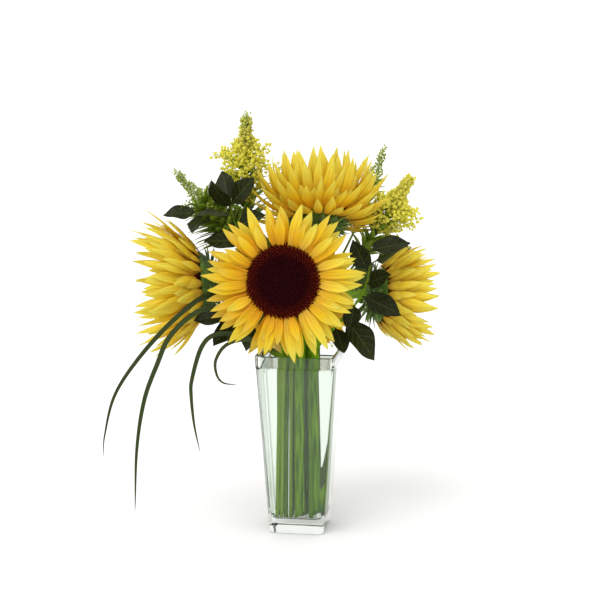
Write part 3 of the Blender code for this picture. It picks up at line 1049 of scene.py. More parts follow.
@dataclass(frozen=True)
class Fan:
    """Pointed thin sheets that stand round an axis, such as rays or bracts.

    A sheet's spine starts at the root radius and level. Its slope from the level plane goes
    evenly from the first rise to the last. At the share t along and s across (-1 to 1), the
    point stands off the spine by w s to the side and by w (channel s^2 + ridge cos(3 pi s))
    upwards, turned about the spine by twist t, where the half width w follows the outline.
    """

    count: int
    root: float
    level: float
    length: float
    half_width: float
    rise: tuple[float, float]
    outline: tuple[tuple[float, float], ...]
    seed: int
    channel: float = 0.28
    ridge: float = 0.05
    twist: float = 22.0
    sway: float = 0.10
    uneven: float = 0.12
    thickness: float = 0.35 * MM
    rows: int = 12
    columns: int = 9
    # Share by which all rays lean to the pale colour: painted light that brightens a head that is
    # less lit
    pale: float = 0.0
    pale_side: float = 0.0

    def sheets(self) -> Surface:
        """All the sheets, each varied a little by chance in turn, length, width and slope.

        A sheet's chance value is pale + (1 - pale) r + side cos(turn), for its own r from 0
        to 1, so that a head can be paler as a whole or on one side. Paler as a whole is painted
        light: it lifts the rays of the cupped and side-facing heads, which the lamp lights less.
        """
        chance = np.random.default_rng(self.seed)

        def vary(spread: float) -> np.ndarray:
            """One chance value for each sheet, up to the spread either way."""
            return chance.uniform(-spread, spread, (self.count, 1, 1))

        t = np.linspace(0, 1, self.rows)[None, :, None]
        s = np.linspace(-1, 1, self.columns)[None, None, :]
        number = np.arange(self.count)[:, None, None]
        turn = (number + 0.37 * self.seed + vary(0.28)) * 2 * math.pi / self.count
        first = np.radians(self.rise[0] + vary(6))
        slope = first + (np.radians(self.rise[1] + vary(13)) - first) * t
        length = self.length * (1 + vary(self.uneven))
        step = length / (self.rows - 1)
        out = self.root + np.cumsum(np.cos(slope), axis=1) * step - step
        rise = self.level + np.cumsum(np.sin(slope), axis=1) * step
        shares, widths = zip(*self.outline)
        wave = 1 + 0.05 * np.sin(2 * math.pi * (2.2 * t + vary(0.5)))
        half = self.half_width * (1 + vary(self.uneven)) * np.interp(t, shares, widths) * wave
        roll = np.radians(vary(self.twist)) * t
        lift = half * (self.channel * s * s + self.ridge * np.cos(3 * math.pi * s))
        aside = half * s * np.cos(roll) - lift * np.sin(roll) + vary(self.sway) * length * t * t
        above = half * s * np.sin(roll) + lift * np.cos(roll)
        radius = out - np.sin(slope) * above
        height = rise + np.cos(slope) * above
        middle = np.stack([
            radius * np.cos(turn) - aside * np.sin(turn),
            radius * np.sin(turn) + aside * np.cos(turn),
            height,
        ], axis=-1)
        # The pale share raises every chance value towards the pale colour: painted light on the
        # heads that the lamp lights less
        own = self.pale + (1 - self.pale) * chance.random(self.count)
        own = np.clip(own + self.pale_side * np.cos(turn[:, 0, 0]), 0, 1)
        return thin_sheets(middle, self.thickness, own)


@dataclass(frozen=True)
class Whorl:
    """One whorl of a head's rays, set against the head's own ray."""

    count: int
    length: float = 1.0
    rise: tuple[float, float] = (0.0, 0.0)
    root: float = 0.93
    level: float = 0.4


OPEN_WHORLS = (
    Whorl(30), Whorl(28, 0.94, (-14, -10), 0.90, -0.7), Whorl(22, 0.70, (9, 6), 0.97, 1.2),
)
CUPPED_WHORLS = (
    Whorl(33, 1.0, (6, 4)), Whorl(33, 0.97, (-8, -8), 0.92, -0.8),
    Whorl(22, 0.74, (-18, -18), 0.90, -2.2), Whorl(22, 0.62, (-3, -2), 0.97, -1.6),
    Whorl(20, 0.44, (-12, -8), 1.0, -3.6),
)
DOUBLE_WHORLS = (
    Whorl(29, 0.94, (18, 10)), Whorl(30, 0.93, (3, 2)), Whorl(28, 0.90, (-17, -13), 0.92, -0.8),
    Whorl(26, 0.68, (-5, -4), 0.98, -1.6), Whorl(24, 0.46, (-14, -9), 1.02, -3.6),
    Whorl(28, 0.76, (-38, -34), 0.90, -2.4), Whorl(26, 0.60, (-60, -52), 0.86, -5.0),
)
RAY_OUTLINE = (
    (0.0, 0.42), (0.10, 0.55), (0.22, 0.76), (0.36, 0.94), (0.50, 1.0), (0.64, 0.94),
    (0.76, 0.77), (0.87, 0.50), (0.95, 0.22), (1.0, 0.03),
)
BRACT_OUTLINE = ((0.0, 0.9), (0.2, 1.0), (0.45, 0.8), (0.7, 0.42), (0.88, 0.16), (1.0, 0.03))


@dataclass(frozen=True)
class Sunflower:
    """One cut sunflower: a ridged stem, a cup of bracts, whorls of rays and a domed disc.

    The foot, centre, disc radius and ray length are millimetres; the rise is in degrees from
    the head's plane at the ray's root and at its tip. The skirt is how far down the calyx the
    rays reach, in millimetres.
    """

    name: str
    foot: tuple[float, float]
    centre: Vec
    facing: Vec
    disc: float
    ray: float
    rise: tuple[float, float]
    seed: int
    whorls: tuple[Whorl, ...] = CUPPED_WHORLS
    stem_radius: float = 5.5 * MM
    stem_sides: int = 24
    calyx_depth: float = 0.60
    dome: float = 0.18
    florets: int = 860
    ray_width: float = 0.115
    skirt: float = 0.0
    # Painted light: a pale share lifts the head's rays towards the pale colour, brightening a head
    # that the lamp lights less
    pale: float = 0.0
    pale_side: float = 0.0

    @property
    def radius(self) -> float:
        """The disc's radius."""
        return self.disc * MM

    def head_frame(self) -> np.ndarray:
        """Axis columns of the head, the third along its facing."""
        return np.array(Vector(self.facing).to_track_quat("Z", "Y").to_matrix())

    def in_bunch(self, surface: Surface) -> Surface:
        """A surface of the head's own axes, set in the bunch."""
        return surface.moved(self.head_frame(), np.array(self.centre) * MM)

    def stem(self, bunch: Bunch) -> Surface:
        """The stem: ribs of 0.2 mm round it, a slight taper and a slanted cut at the foot."""
        facing = unit(np.array(self.facing, float))
        neck = np.array(self.centre) * MM - facing * (self.calyx_depth * self.radius - MM)
        route = bunch.stem(self.foot, neck, facing)
        angle = np.linspace(0, 2 * math.pi, self.stem_sides, endpoint=False)[None]
        along = np.linspace(0, 1, len(route))[:, None]
        drift = 1.2 * np.sin(5 * along + self.seed)
        ribs = 1 + 0.035 * np.cos(8 * angle + drift) + 0.02 * np.cos(3 * angle - 2 * drift)
        taper = 1 - 0.10 * along + 0.16 * np.clip((along - 0.94) / 0.06, 0, 1) ** 2
        stalk = tube(route, self.stem_radius * ribs * taper, self.stem_sides)
        cut = 0.75 * self.stem_radius * (1 + np.cos(angle[0] - self.seed))
        stalk.points[:self.stem_sides, 2] += cut
        stalk.points[-2, 2] += cut.mean()
        stalk.tone[:, 1] = 0.5 + 0.45 * math.sin(2.3 * self.seed)
        return stalk

    def calyx(self) -> Surface:
        """The green receptacle, flared like a trumpet, and three whorls of pointed bracts."""
        depth = self.calyx_depth * self.radius
        share = np.linspace(0, 1, 12)
        flare = self.stem_radius + (0.98 * self.radius - self.stem_radius) * (
            0.35 * share + 0.65 * share ** 0.55
        )
        flare[0] = self.stem_radius * 1.02
        level = -depth + (depth - 2 * MM) * share ** 1.5
        profile = np.concatenate([
            [(0.4 * self.stem_radius, -depth)], np.stack([flare, level], axis=1),
            [(0.8 * self.radius, -1.6 * MM), (0.1 * self.radius, -1.6 * MM)],
        ])
        cup = turned(profile, 40)
        cup.tone[:, 0] *= 0.45
        whorls = [cup]
        fit = 1 - 0.018 * self.skirt
        rows = ((0.80, 0.58, (-6, 18)), (0.74, 0.52, (-24, -4)), (0.62, 0.40, (-46, -30)))
        for order, (root, reach, slope) in enumerate(rows):
            level = -(0.12 + 0.13 * order) * depth - (1.5 + 0.9 * self.skirt) * MM
            whorls.append(Fan(
                17, root * fit * self.radius, level, reach * fit * self.radius,
                0.14 * fit * self.radius, slope, BRACT_OUTLINE,
                seed=self.seed + order, channel=0.35, ridge=0.0, uneven=0.16, columns=5,
                rows=8, thickness=0.6 * MM,
            ).sheets())
        return join(whorls)

    def rays(self) -> Surface:
        """The rays, whorl by whorl, long pointed sheets ridged along their length."""
        sheets = []
        for order, whorl in enumerate(self.whorls):
            sheets.append(Fan(
                whorl.count, whorl.root * self.radius, whorl.level * MM,
                whorl.length * self.ray * MM + (1.06 - whorl.root) * self.radius,
                self.ray_width * self.ray * MM,
                (self.rise[0] + whorl.rise[0], self.rise[1] + whorl.rise[1]), RAY_OUTLINE,
                seed=10 * self.seed + order, pale=self.pale, pale_side=self.pale_side,
            ).sheets())
        return join(sheets)

    def dome_level(self, share: np.ndarray) -> np.ndarray:
        """The disc's height at a share of its radius: flat-topped, falling away to the rim."""
        height = self.dome * self.radius
        return height * (0.90 + 0.30 * share ** 2 - 0.95 * share ** 6)

    def disc_head(self) -> Surface:
        """The disc: a dome covered with florets that stand a golden angle apart.

        Floret n stands at radius R sqrt((n + 0.5) / N) and turn n x the golden angle. It leans
        outwards and grows taller towards the rim.
        """
        share = np.linspace(0.97, 0.02, 14)
        profile = np.concatenate([
            [(0.02 * self.radius, 0.0), (0.90 * self.radius, 0.0)],
            np.stack([share * self.radius, self.dome_level(share) - 0.8 * MM], axis=1),
        ])
        bed = turned(profile, 40)
        bed.tone[:, 0] = 0.0
        bed.tone[:, 2] = np.hypot(bed.points[:, 0], bed.points[:, 1]) / self.radius
        number = np.arange(self.florets)
        chance = chance_values(self.florets, self.seed + 70)
        out = np.sqrt((number + 0.5) / self.florets)
        turn = number * GOLDEN_ANGLE
        away = np.stack([np.cos(turn), np.sin(turn), np.zeros_like(turn)], axis=1)
        places = away * (out * self.radius)[:, None]
        places[:, 2] = self.dome_level(out) - 1.0 * MM
        lean = (0.10 + 0.75 * out ** 5)[:, None]
        ahead = unit(UP + lean * away)
        around = np.cross(ahead, away)
        axes = axes_along(ahead, unit(np.cross(around, ahead)))
        width = 0.53 * self.radius * math.sqrt(math.pi / self.florets)
        height = (2.1 + 0.8 * out + 1.7 * np.clip((out - 0.66) / 0.34, 0, 1) ** 1.5) * MM
        height = height * (0.82 + 0.36 * chance)
        scale = np.stack([np.full_like(out, width), np.full_like(out, width), height], axis=1)
        florets = copies(floret_shape(), axes * scale[:, None, :], places, chance, out)
        return join([bed, florets])

    def make(self, finishes: Finishes, bunch: Bunch) -> None:
        """Makes the stem, calyx, rays and disc."""
        parts = (
            (self.stem(bunch), "stem", Slot.STEM),
            (self.in_bunch(self.calyx()), "calyx", Slot.CALYX),
            (self.in_bunch(self.rays()), "petals", Slot.PETAL),
            (self.in_bunch(self.disc_head()), "disc", Slot.DISC),
        )
        for surface, kind, slot in parts:
            piece = bunch.placed(surface).to_object(f"{self.name}_flower_{kind}")
            finishes.dress(piece, slot, f"sunflower_{self.name}_{kind}")


def floret_shape() -> Surface:
    """A five-sided floret one high and one in radius, widest at two thirds and pointed."""
    profile = np.array(((0.7, 0.0), (0.95, 0.45), (0.98, 0.72), (0.45, 0.94)))
    shape = turned(profile, 5)
    shape.points[-1, 2] = 1.04
    shape.tone[:, 0] = shape.points[:, 2]
    return shape


def lay_sheets(local: np.ndarray, frames: np.ndarray, places: np.ndarray) -> np.ndarray:
    """Sheets of their own axes, turned by frames of shape (n, 3, 3) and set at their places."""
    return np.einsum("nij,nrcj->nrci", frames, local) + places[:, None, None]


def leaf_frames(ahead: np.ndarray, normal: np.ndarray) -> np.ndarray:
    """Axis columns of leaves: to the side, ahead, and up towards a normal."""
    ahead = unit(ahead)
    side = unit(np.cross(ahead, normal))
    return np.stack([side, ahead, np.cross(side, ahead)], axis=-1)


def blades(
    lengths: np.ndarray,
    widths: np.ndarray,
    outline: tuple[tuple[float, float], ...],
    fold: float,
    droop: float,
    wave: float,
    seed: int,
    rows: int,
    columns: int,
) -> np.ndarray:
    """Middle surfaces of leaves that run along Y from the origin, with Z upwards.

    At the share t along and s across (1 to -1), the point is half width x s to the side,
    length x t along, and fold x half width x |s|^1.3 - droop x length x t^2
    + wave x length x s^2 sin(2 pi (1.7 t + chance)) upwards.

    Args:
        lengths: Each leaf's length.
        widths: Each leaf's full width.
        outline: Shares along and shares of the full width.
        fold: How far the halves rise from the midrib.
        droop: How far the tip falls.
        wave: How far the edges wave.
        seed: The seed of the chance values.
        rows: Points along.
        columns: Points across.

    Returns:
        Points of shape (leaves, rows, columns, 3).
    """
    count = len(lengths)
    t = np.linspace(0, 1, rows)[None, :, None]
    s = np.linspace(1, -1, columns)[None, None, :]
    phase = chance_values(count, seed)[:, None, None]
    length = lengths[:, None, None]
    shares, parts = zip(*outline)
    half = 0.5 * widths[:, None, None] * np.interp(t, shares, parts)
    across = half * s
    along = length * t * np.ones_like(across)
    upward = fold * half * np.abs(s) ** 1.3 - droop * length * t * t
    upward = upward + wave * length * s * s * np.sin(2 * math.pi * (1.7 * t + phase)) * (t > 0.12)
    return np.stack([across, along, upward], axis=-1)


@dataclass(frozen=True)
class Goldenrod:
    """One stem of goldenrod: a leafy stalk and a plume of arching sprays of tiny heads.

    The foot, plume start, plume tip and radius are millimetres. The bloom is the share of the
    heads that have opened, from the plume's foot upwards. The plume is fullest at a share of
    its own length. The stalk has leaves from the leafy share of its length on, the lowest of
    them as long as the leaf. A spray is bare up to the bare share of its length. From there
    its heads stand off it by the stand-off and, by chance, up to the scatter more.
    """

    name: str
    foot: tuple[float, float]
    start: Vec
    tip: Vec
    radius: float
    bloom: float
    seed: int
    sprays: int = 60
    heads: int = 14
    end_heads: int = 70
    stem_radius: float = 1.5 * MM
    leaves: int = 32
    fullest: float = 0.30
    leafy: float = 0.78
    leaf: float = 46 * MM
    head_width: float = 1.8 * MM
    head_height: float = 3.0 * MM
    bare_share: float = 0.38
    stand_off: float = 0.5 * MM
    scatter: float = 3.4 * MM

    def axis(self, share: np.ndarray) -> np.ndarray:
        """Points along the plume's middle."""
        start, tip = np.array(self.start) * MM, np.array(self.tip) * MM
        return start + (tip - start) * share[:, None]

    def spray_routes(self) -> np.ndarray:
        """Routes of the sprays, of shape (sprays, steps, 3).

        Spray k leaves the middle at a golden angle from the one below, runs out and up, and
        nods at its end: out 0.95 l t, up l (0.95 t - 0.50 t^2), for its length l. That is
        radius x (0.18 + 1.35 bell) x (0.55 + 0.7 chance), with the bell about the plume's
        fullest share f: exp(-((share - f) / 0.25)^2).
        """
        number = np.arange(self.sprays)
        share = 0.01 + 0.90 * (number / self.sprays) ** 1.05
        turn = number * GOLDEN_ANGLE + self.seed
        ahead = unit(np.array(self.tip, float) - np.array(self.start, float))
        frame = axes_along(ahead[None], np.array([(1.0, 0.2, 0.0)]))[0]
        away = np.cos(turn)[:, None] * frame[:, 0] + np.sin(turn)[:, None] * frame[:, 1]
        chance = chance_values(self.sprays, self.seed)
        bell = np.exp(-((share - self.fullest) / 0.25) ** 2)
        length = (self.radius * MM * (0.18 + 1.35 * bell) * (0.55 + 0.7 * chance))[:, None, None]
        t = np.linspace(0, 1, 9)[None, :, None]
        base = self.axis(share)[:, None]
        rise = 0.95 * t - 0.50 * t * t
        return base + length * (0.95 * t * away[:, None] + rise * ahead)

    def stalk(self, bunch: Bunch) -> Surface:
        """The stalk, on through the plume, with its sprays and its narrow leaves."""
        start, tip = np.array(self.start) * MM, np.array(self.tip) * MM
        heading = unit(tip - start)
        route = bunch.stem(self.foot, start, heading)
        share = np.linspace(0, 1, 12)[1:]
        full = np.concatenate([route, self.axis(share)])
        along = np.linspace(0, 1, len(full))
        thin = self.stem_radius * (1.4 - 0.75 * along - 0.4 * np.clip((along - 0.8) / 0.2, 0, 1))
        parts = [tube(full, thin, 9)]
        for spray in self.spray_routes():
            parts.append(tube(spray, np.linspace(0.45, 0.25, len(spray)) * MM, 4))
        parts.append(self.leaf_sheets(route))
        return join(parts)

    def leaf_sheets(self, stalk: np.ndarray) -> Surface:
        """Lance-shaped leaves up the stalk, a golden angle apart, smaller towards the plume."""
        route = np.concatenate([stalk, self.axis(np.linspace(0, 0.45, 8)[1:])])
        number = np.arange(self.leaves)
        share = self.leafy + (0.99 - self.leafy) * number / self.leaves
        spot = (share * (len(route) - 1)).astype(int)
        ahead = unit(np.gradient(route, axis=0))[spot]
        turn = number * GOLDEN_ANGLE + 2.1 * self.seed
        frame = axes_along(ahead, np.tile((1.0, 0.2, 0.0), (self.leaves, 1)))
        away = np.cos(turn)[:, None] * frame[:, :, 0] + np.sin(turn)[:, None] * frame[:, :, 1]
        lengths = self.leaf * (1 - 0.35 * number / self.leaves)
        outline = ((0, 0.25), (0.12, 0.6), (0.35, 1.0), (0.6, 0.85), (0.85, 0.4), (1.0, 0.04))
        local = blades(lengths, lengths * 0.26, outline, 0.3, 0.30, 0.01, self.seed, 9, 5)
        frames = leaf_frames(0.9 * ahead + 0.8 * away, ahead - 0.6 * away)
        places = route[spot] + away * self.stem_radius * 0.8
        return thin_sheets(
            lay_sheets(local, frames, places), 0.3 * MM, chance_values(self.leaves, self.seed)
        )

    def plume(self) -> Surface:
        """The tiny heads, all round each spray and round the plume's upper end.

        Head k stands off its spray by stand-off + scatter x chance, a golden angle round from
        the last one. It faces outwards and along both the plume and its spray.
        """
        routes = self.spray_routes()
        t = self.bare_share + (1 - self.bare_share) * (np.arange(self.heads) + 0.5) / self.heads
        spot = t * (routes.shape[1] - 1)
        low = np.minimum(spot.astype(int), routes.shape[1] - 2)
        part = (spot - low)[None, :, None]
        on_sprays = routes[:, low] * (1 - part) + routes[:, low + 1] * part
        run = unit(routes[:, low + 1] - routes[:, low])
        tip_share = 0.40 + 0.60 * np.arange(self.end_heads) / self.end_heads
        ahead = unit(np.array(self.tip, float) - np.array(self.start, float))
        places = np.concatenate([on_sprays.reshape(-1, 3), self.axis(tip_share)])
        run = np.concatenate([run.reshape(-1, 3), np.tile(ahead, (self.end_heads, 1))])
        height = np.concatenate([
            np.repeat(np.arange(self.sprays) / self.sprays, self.heads), tip_share
        ])
        chance, mixed = chance_values(2 * len(places), self.seed + 40).reshape(2, -1)
        frame = axes_along(run, np.tile((0.3, 0.9, 0.1), (len(places), 1)))
        turn = (np.arange(len(places)) * GOLDEN_ANGLE)[:, None]
        away = np.cos(turn) * frame[..., 0] + np.sin(turn) * frame[..., 1]
        places = places + away * (self.stand_off + self.scatter * chance[:, None])
        facing = unit(0.6 * ahead + 0.4 * run + 1.1 * away)
        ripe = np.clip(1.75 * self.bloom + 0.35 - 1.5 * height + 0.5 * (mixed - 0.5), 0, 1)
        size = (0.70 + 0.40 * ripe) * (0.8 + 0.4 * mixed)
        width, tall = self.head_width * size, self.head_height * size
        scale = np.stack([width, width, tall], axis=1)
        axes = axes_along(facing, np.tile((0.3, 0.2, 0.9), (len(places), 1)))
        return copies(head_shape(), axes * scale[:, None, :], places, mixed, ripe)

    def make(self, finishes: Finishes, bunch: Bunch) -> None:
        """Makes the stalk and the plume."""
        parts = (
            (self.stalk(bunch), "stalk", finishes.stalk), (self.plume(), "heads", None)
        )
        for surface, kind, finish in parts:
            piece = bunch.placed(surface).to_object(f"{self.name}_goldenrod_{kind}")
            finishes.dress(piece, Slot.GOLDENROD, f"goldenrod_{self.name}", finish=finish)


def head_shape() -> Surface:
    """A goldenrod's tiny head, one high: a narrow cup with a ragged open mouth."""
    profile = np.array(((0.35, 0.0), (0.6, 0.42), (1.0, 0.86)))
    shape = turned(profile, 5)
    shape.points[10:15:2, 2] += 0.16
    shape.points[-1, 2] = 0.78
    shape.tone[:, 0] = np.clip(shape.points[:, 2], 0, 1)
    return shape


@dataclass(frozen=True)
class LeafPlace:
    """A leaf on its twig: the share up the twig, and the ways that it points and faces."""

    share: float
    ahead: Vec
    normal: Vec
    size: float


@dataclass(frozen=True)
class Salal:
    """One sprig of salal: a woody twig that bends a little at each leathery leaf.

    The foot and the twig's tip are millimetres.
    """

    name: str
    foot: tuple[float, float]
    tip: Vec
    heading: Vec
    lean: float
    leaves: tuple[LeafPlace, ...]
    seed: int
    twig_radius: float = 1.5 * MM
    length: float = 47 * MM
    width: float = 27 * MM

    def twig(self, bunch: Bunch) -> Surface:
        """The twig, of radius x (1.6 - 0.95 share + knuckle), so thickest at its foot."""
        route = bunch.stem(self.foot, np.array(self.tip) * MM, self.heading, self.lean)
        along = np.linspace(0, 1, len(route))
        knuckle = 0.22 * np.cos(math.pi * along * 11 + self.seed) ** 12
        return tube(route, self.twig_radius * (1.6 - 0.95 * along + knuckle), 10)

    def leaf_sheets(self, bunch: Bunch) -> Surface:
        """The leaves: ovate, on short stalks, folded along the midrib, their edges waved."""
        tip = np.array(self.tip) * MM
        route = bunch.stem(self.foot, tip, self.heading, self.lean)[18:]
        share = np.array([leaf.share for leaf in self.leaves])
        ahead = unit(np.array([leaf.ahead for leaf in self.leaves], float))
        normal = np.array([leaf.normal for leaf in self.leaves], float)
        size = np.array([leaf.size for leaf in self.leaves])
        steps = len(route) - 1
        t = np.where(share < 0.9, share / 0.9 * (steps - 1), steps - 1 + (share - 0.9) * 10)
        spot = np.minimum(t.astype(int), steps - 1)
        part = (t - spot)[:, None]
        places = route[spot] * (1 - part) + route[spot + 1] * part
        tangent = unit(route[spot + 1] - route[spot])
        outward = unit(ahead - np.sum(ahead * tangent, axis=1, keepdims=True) * tangent)
        places = places + np.where((share < 1)[:, None], outward * 0.6, tangent * -0.2) * MM
        outline = (
            (0, 0.06), (0.07, 0.055), (0.10, 0.11), (0.15, 0.36), (0.22, 0.66), (0.32, 0.89),
            (0.44, 1.0), (0.56, 0.98), (0.68, 0.86), (0.80, 0.64), (0.90, 0.36), (0.96, 0.14),
            (1.0, 0.02),
        )
        local = blades(
            self.length * size, self.width * size, outline, 0.22, 0.12, 0.035, self.seed, 22, 13
        )
        frames = leaf_frames(ahead, normal)
        chance = chance_values(len(size), self.seed + 3)
        return thin_sheets(lay_sheets(local, frames, places), 0.5 * MM, chance)

    def make(self, finishes: Finishes, bunch: Bunch) -> None:
        """Makes the twig and the leaves."""
        twig = bunch.placed(self.twig(bunch)).to_object(f"{self.name}_sprig_twig")
        finishes.dress(twig, Slot.TWIG, f"salal_{self.name}_twig")
        leaves = bunch.placed(self.leaf_sheets(bunch)).to_object(f"{self.name}_sprig_leaves")
        nodes = [f"salal_{self.name}_leaf_{n + 1}" for n in range(len(self.leaves))]
        finishes.dress(leaves, Slot.LEAF, *nodes)


@dataclass(frozen=True)
class GrassBlade:
    """One long blade of lily grass, folded along its middle and drawn out to a point.

    The foot and the bends are millimetres; the blade runs through every bend in a smooth curve.
    """

    number: int
    foot: tuple[float, float]
    bends: tuple[Vec, ...]
    width: float = 6.4 * MM
    foot_width: float = 3.4 * MM
    fold: float = 0.26
    steps: int = 110

    def route(self, bunch: Bunch) -> np.ndarray:
        """The blade's middle: straight to the rim, then cubic spans through the bends."""
        straight = bunch.upright(self.foot, np.linspace(bunch.foot_level, bunch.rim_level, 16))
        knots = np.concatenate([straight[-1:], np.array(self.bends, float) * MM])
        padded = np.concatenate([
            [2 * knots[0] - knots[1]], knots, [2 * knots[-1] - knots[-2]]
        ])
        spot = np.linspace(0, len(knots) - 1, self.steps)[1:]
        index = np.minimum(spot.astype(int), len(knots) - 2)
        t = (spot - index)[:, None]
        a, b, c, d = (padded[index + step] for step in range(4))
        curve = 0.5 * (
            2 * b + (c - a) * t + (2 * a - 5 * b + 4 * c - d) * t ** 2
            + (3 * b - a - 3 * c + d) * t ** 3
        )
        return np.concatenate([straight, curve])

    def sheet(self, bunch: Bunch) -> Surface:
        """The blade: half width x s to the side, and fold x half width x |s| off its middle."""
        route = self.route(bunch)
        tangent = unit(np.gradient(route, axis=0))
        back = np.array((0.0, 1.0, 0.0))
        side = unit(np.cross(tangent, back) + 0.35 * back)
        side = unit(side - np.sum(side * tangent, axis=1, keepdims=True) * tangent)
        normal = np.cross(tangent, side)
        run = np.concatenate([[0], np.cumsum(np.linalg.norm(np.diff(route, axis=0), axis=1))])
        share = run / run[-1]
        widen = np.clip((route[:, 2] - 0.13) / 0.08, 0, 1)
        widen[int(0.5 * len(widen)):] = 1
        full = self.foot_width + (self.width - self.foot_width) * widen
        half = (0.5 * full * (1 - share ** 4) ** 0.8 + 0.15 * MM)[:, None, None]
        s = np.linspace(-1, 1, 9)[None, :, None]
        middle = route[:, None] + half * (
            s * side[:, None] + self.fold * np.abs(s) * normal[:, None]
        )
        chance = np.array([0.17 + 0.23 * self.number])
        return thin_sheets(middle[None], 0.45 * MM, chance)

    def make(self, finishes: Finishes, bunch: Bunch) -> None:
        """Makes the blade."""
        piece = bunch.placed(self.sheet(bunch)).to_object(f"grass_{self.number}")
        finishes.dress(piece, Slot.GRASS, f"lily_grass_blade_{self.number}")


# The top, left and right heads take pale shares of 0.6, 0.75 and 1.0: painted light, lifting their
# rays to the pale colour because, cupped and facing aside, they take less of the lamp
SUNFLOWERS = (
    Sunflower(
        "front", (0, -18), (-18, -78, 293), (0, -1, 0.10), 39, 44, (30, -8), 1, OPEN_WHORLS,
        ray_width=0.12, pale_side=0.3,
    ),
    Sunflower(
        "top", (6, 3), (20, 8, 352), (0.03, 0.37, 0.93), 36, 58, (42, 78), 2, DOUBLE_WHORLS,
        ray_width=0.098, skirt=9.0, pale=0.6,
    ),
    Sunflower(
        "left", (-18, -4), (-112, -2, 277), (-0.98, -0.12, -0.04), 38, 62, (40, 75), 3,
        ray_width=0.092, skirt=9.0, pale=0.75,
    ),
    Sunflower(
        "right", (18, -8), (91, 15, 262), (0.95, 0.22, -0.10), 31, 47, (42, 75), 4,
        ray_width=0.108, skirt=8.0, pale=1.0,
    ),
    Sunflower(
        "back", (-3, 19), (-10, 82, 246), (-0.06, 1.0, 0.12), 37, 46, (30, 0), 5, OPEN_WHORLS,
        ray_width=0.135,
    ),
)

GOLDENRODS = (
    Goldenrod(
        "tall", (-14, 12), (-62, 62, 358), (-59, 40, 463), 24, 0.80, 1, sprays=80,
        fullest=0.32,
    ),
    Goldenrod(
        "left", (-7, 8), (-84, 26, 338), (-140, 22, 401), 14, 0.14, 2, sprays=34, heads=13,
        end_heads=40, leaves=96, leafy=0.80,
    ),
    Goldenrod(
        "back", (18, 9), (74, 100, 352), (97, 84, 422), 9, 0.30, 3, sprays=22, heads=10,
        end_heads=30, leaf=28 * MM,
    ),
    Goldenrod(
        "right", (24, 2), (84, 36, 328), (124, 42, 392), 21, 1.15, 4, sprays=80, leaves=44,
        fullest=0.24, leafy=0.78, leaf=34 * MM,
    ),
)

SALALS = (
    Salal("left", (-8, -3), (-76, -22, 369), (-0.2, -0.1, 1.0), 0.0, (
        LeafPlace(0.72, (-0.8, -0.3, 0.1), (0.1, -0.7, 0.7), 0.9),
        LeafPlace(0.80, (0.6, -0.5, 0.4), (-0.2, -0.8, 0.6), 0.85),
        LeafPlace(0.86, (-0.9, -0.1, 0.15), (0, -0.2, 1), 0.85),
        LeafPlace(0.92, (-0.5, -0.6, 0.65), (-0.4, -0.7, -0.3), 0.9),
        LeafPlace(0.96, (0.55, -0.4, 0.75), (-0.5, -0.8, 0.1), 0.9),
        LeafPlace(1, (-0.25, 0.45, 0.9), (-0.2, -0.9, 0.3), 0.85),
    ), 1),
    Salal("right", (13, -18), (74, -34, 318), (-0.1, 0.2, 1.0), 0.6, (
        LeafPlace(0.28, (0.25, -0.8, -0.5), (0.1, -0.6, 0.8), 0.8),
        LeafPlace(0.38, (0.62, -0.22, -0.75), (0.5, -0.8, 0.4), 1.2),
        LeafPlace(0.51, (-0.2, -0.75, -0.6), (-0.2, -0.8, 0.5), 0.75),
        LeafPlace(0.60, (0.9, -0.2, -0.35), (0.1, -0.8, 0.6), 1),
        LeafPlace(0.70, (0.55, -0.65, 0.4), (-0.3, -0.8, 0.5), 0.8),
        LeafPlace(0.80, (-0.45, -0.3, 0.85), (-0.2, -0.9, -0.2), 0.85),
        LeafPlace(0.88, (-0.35, 0.5, -0.8), (-0.3, 0.8, 0.5), 0.9),
        LeafPlace(1, (0.95, 0.15, 0.28), (-0.1, -0.6, 0.8), 1),
    ), 2),
    Salal("low", (-15, -14), (-76, -40, 250), (-1, -0.2, 0.2), 0.35, (
        LeafPlace(0.66, (-0.35, 0, -0.9), (-0.5, -0.8, 0.3), 0.75),
        LeafPlace(0.76, (-0.6, 0.45, -0.65), (-0.4, -0.6, 0.7), 0.9),
        LeafPlace(0.84, (-0.75, -0.25, -0.7), (-0.4, -0.8, 0.5), 0.9),
        LeafPlace(1, (-0.95, -0.3, -0.05), (0, -0.7, 0.7), 0.85),
    ), 3),
    Salal("upper_left", (-22, 7), (-112, 4, 355), (-0.9, -0.1, 0.3), 0.0, (
        LeafPlace(0.58, (-0.7, 0.3, -0.5), (-0.3, 0.5, 0.8), 0.8),
        LeafPlace(0.74, (0.45, 0.75, 0.5), (-0.1, 0.6, 0.7), 0.95),
        LeafPlace(0.88, (-0.3, -0.8, -0.15), (-0.2, -0.3, 0.9), 0.9),
        LeafPlace(1, (-0.98, -0.1, 0.05), (0.1, -0.6, 0.8), 0.8),
    ), 4),
    Salal("back_right", (10, 16), (84, 74, 290), (0.5, 0.4, 0.8), 0.2, (
        LeafPlace(0.65, (0.7, 0.7, -0.1), (0.1, 0.3, 0.9), 1),
        LeafPlace(0.85, (-0.1, 0.95, 0.2), (0.1, 0.5, 0.9), 1),
        LeafPlace(1, (0.85, 0.3, 0.35), (0.2, 0.8, 0.5), 1),
    ), 5),
)

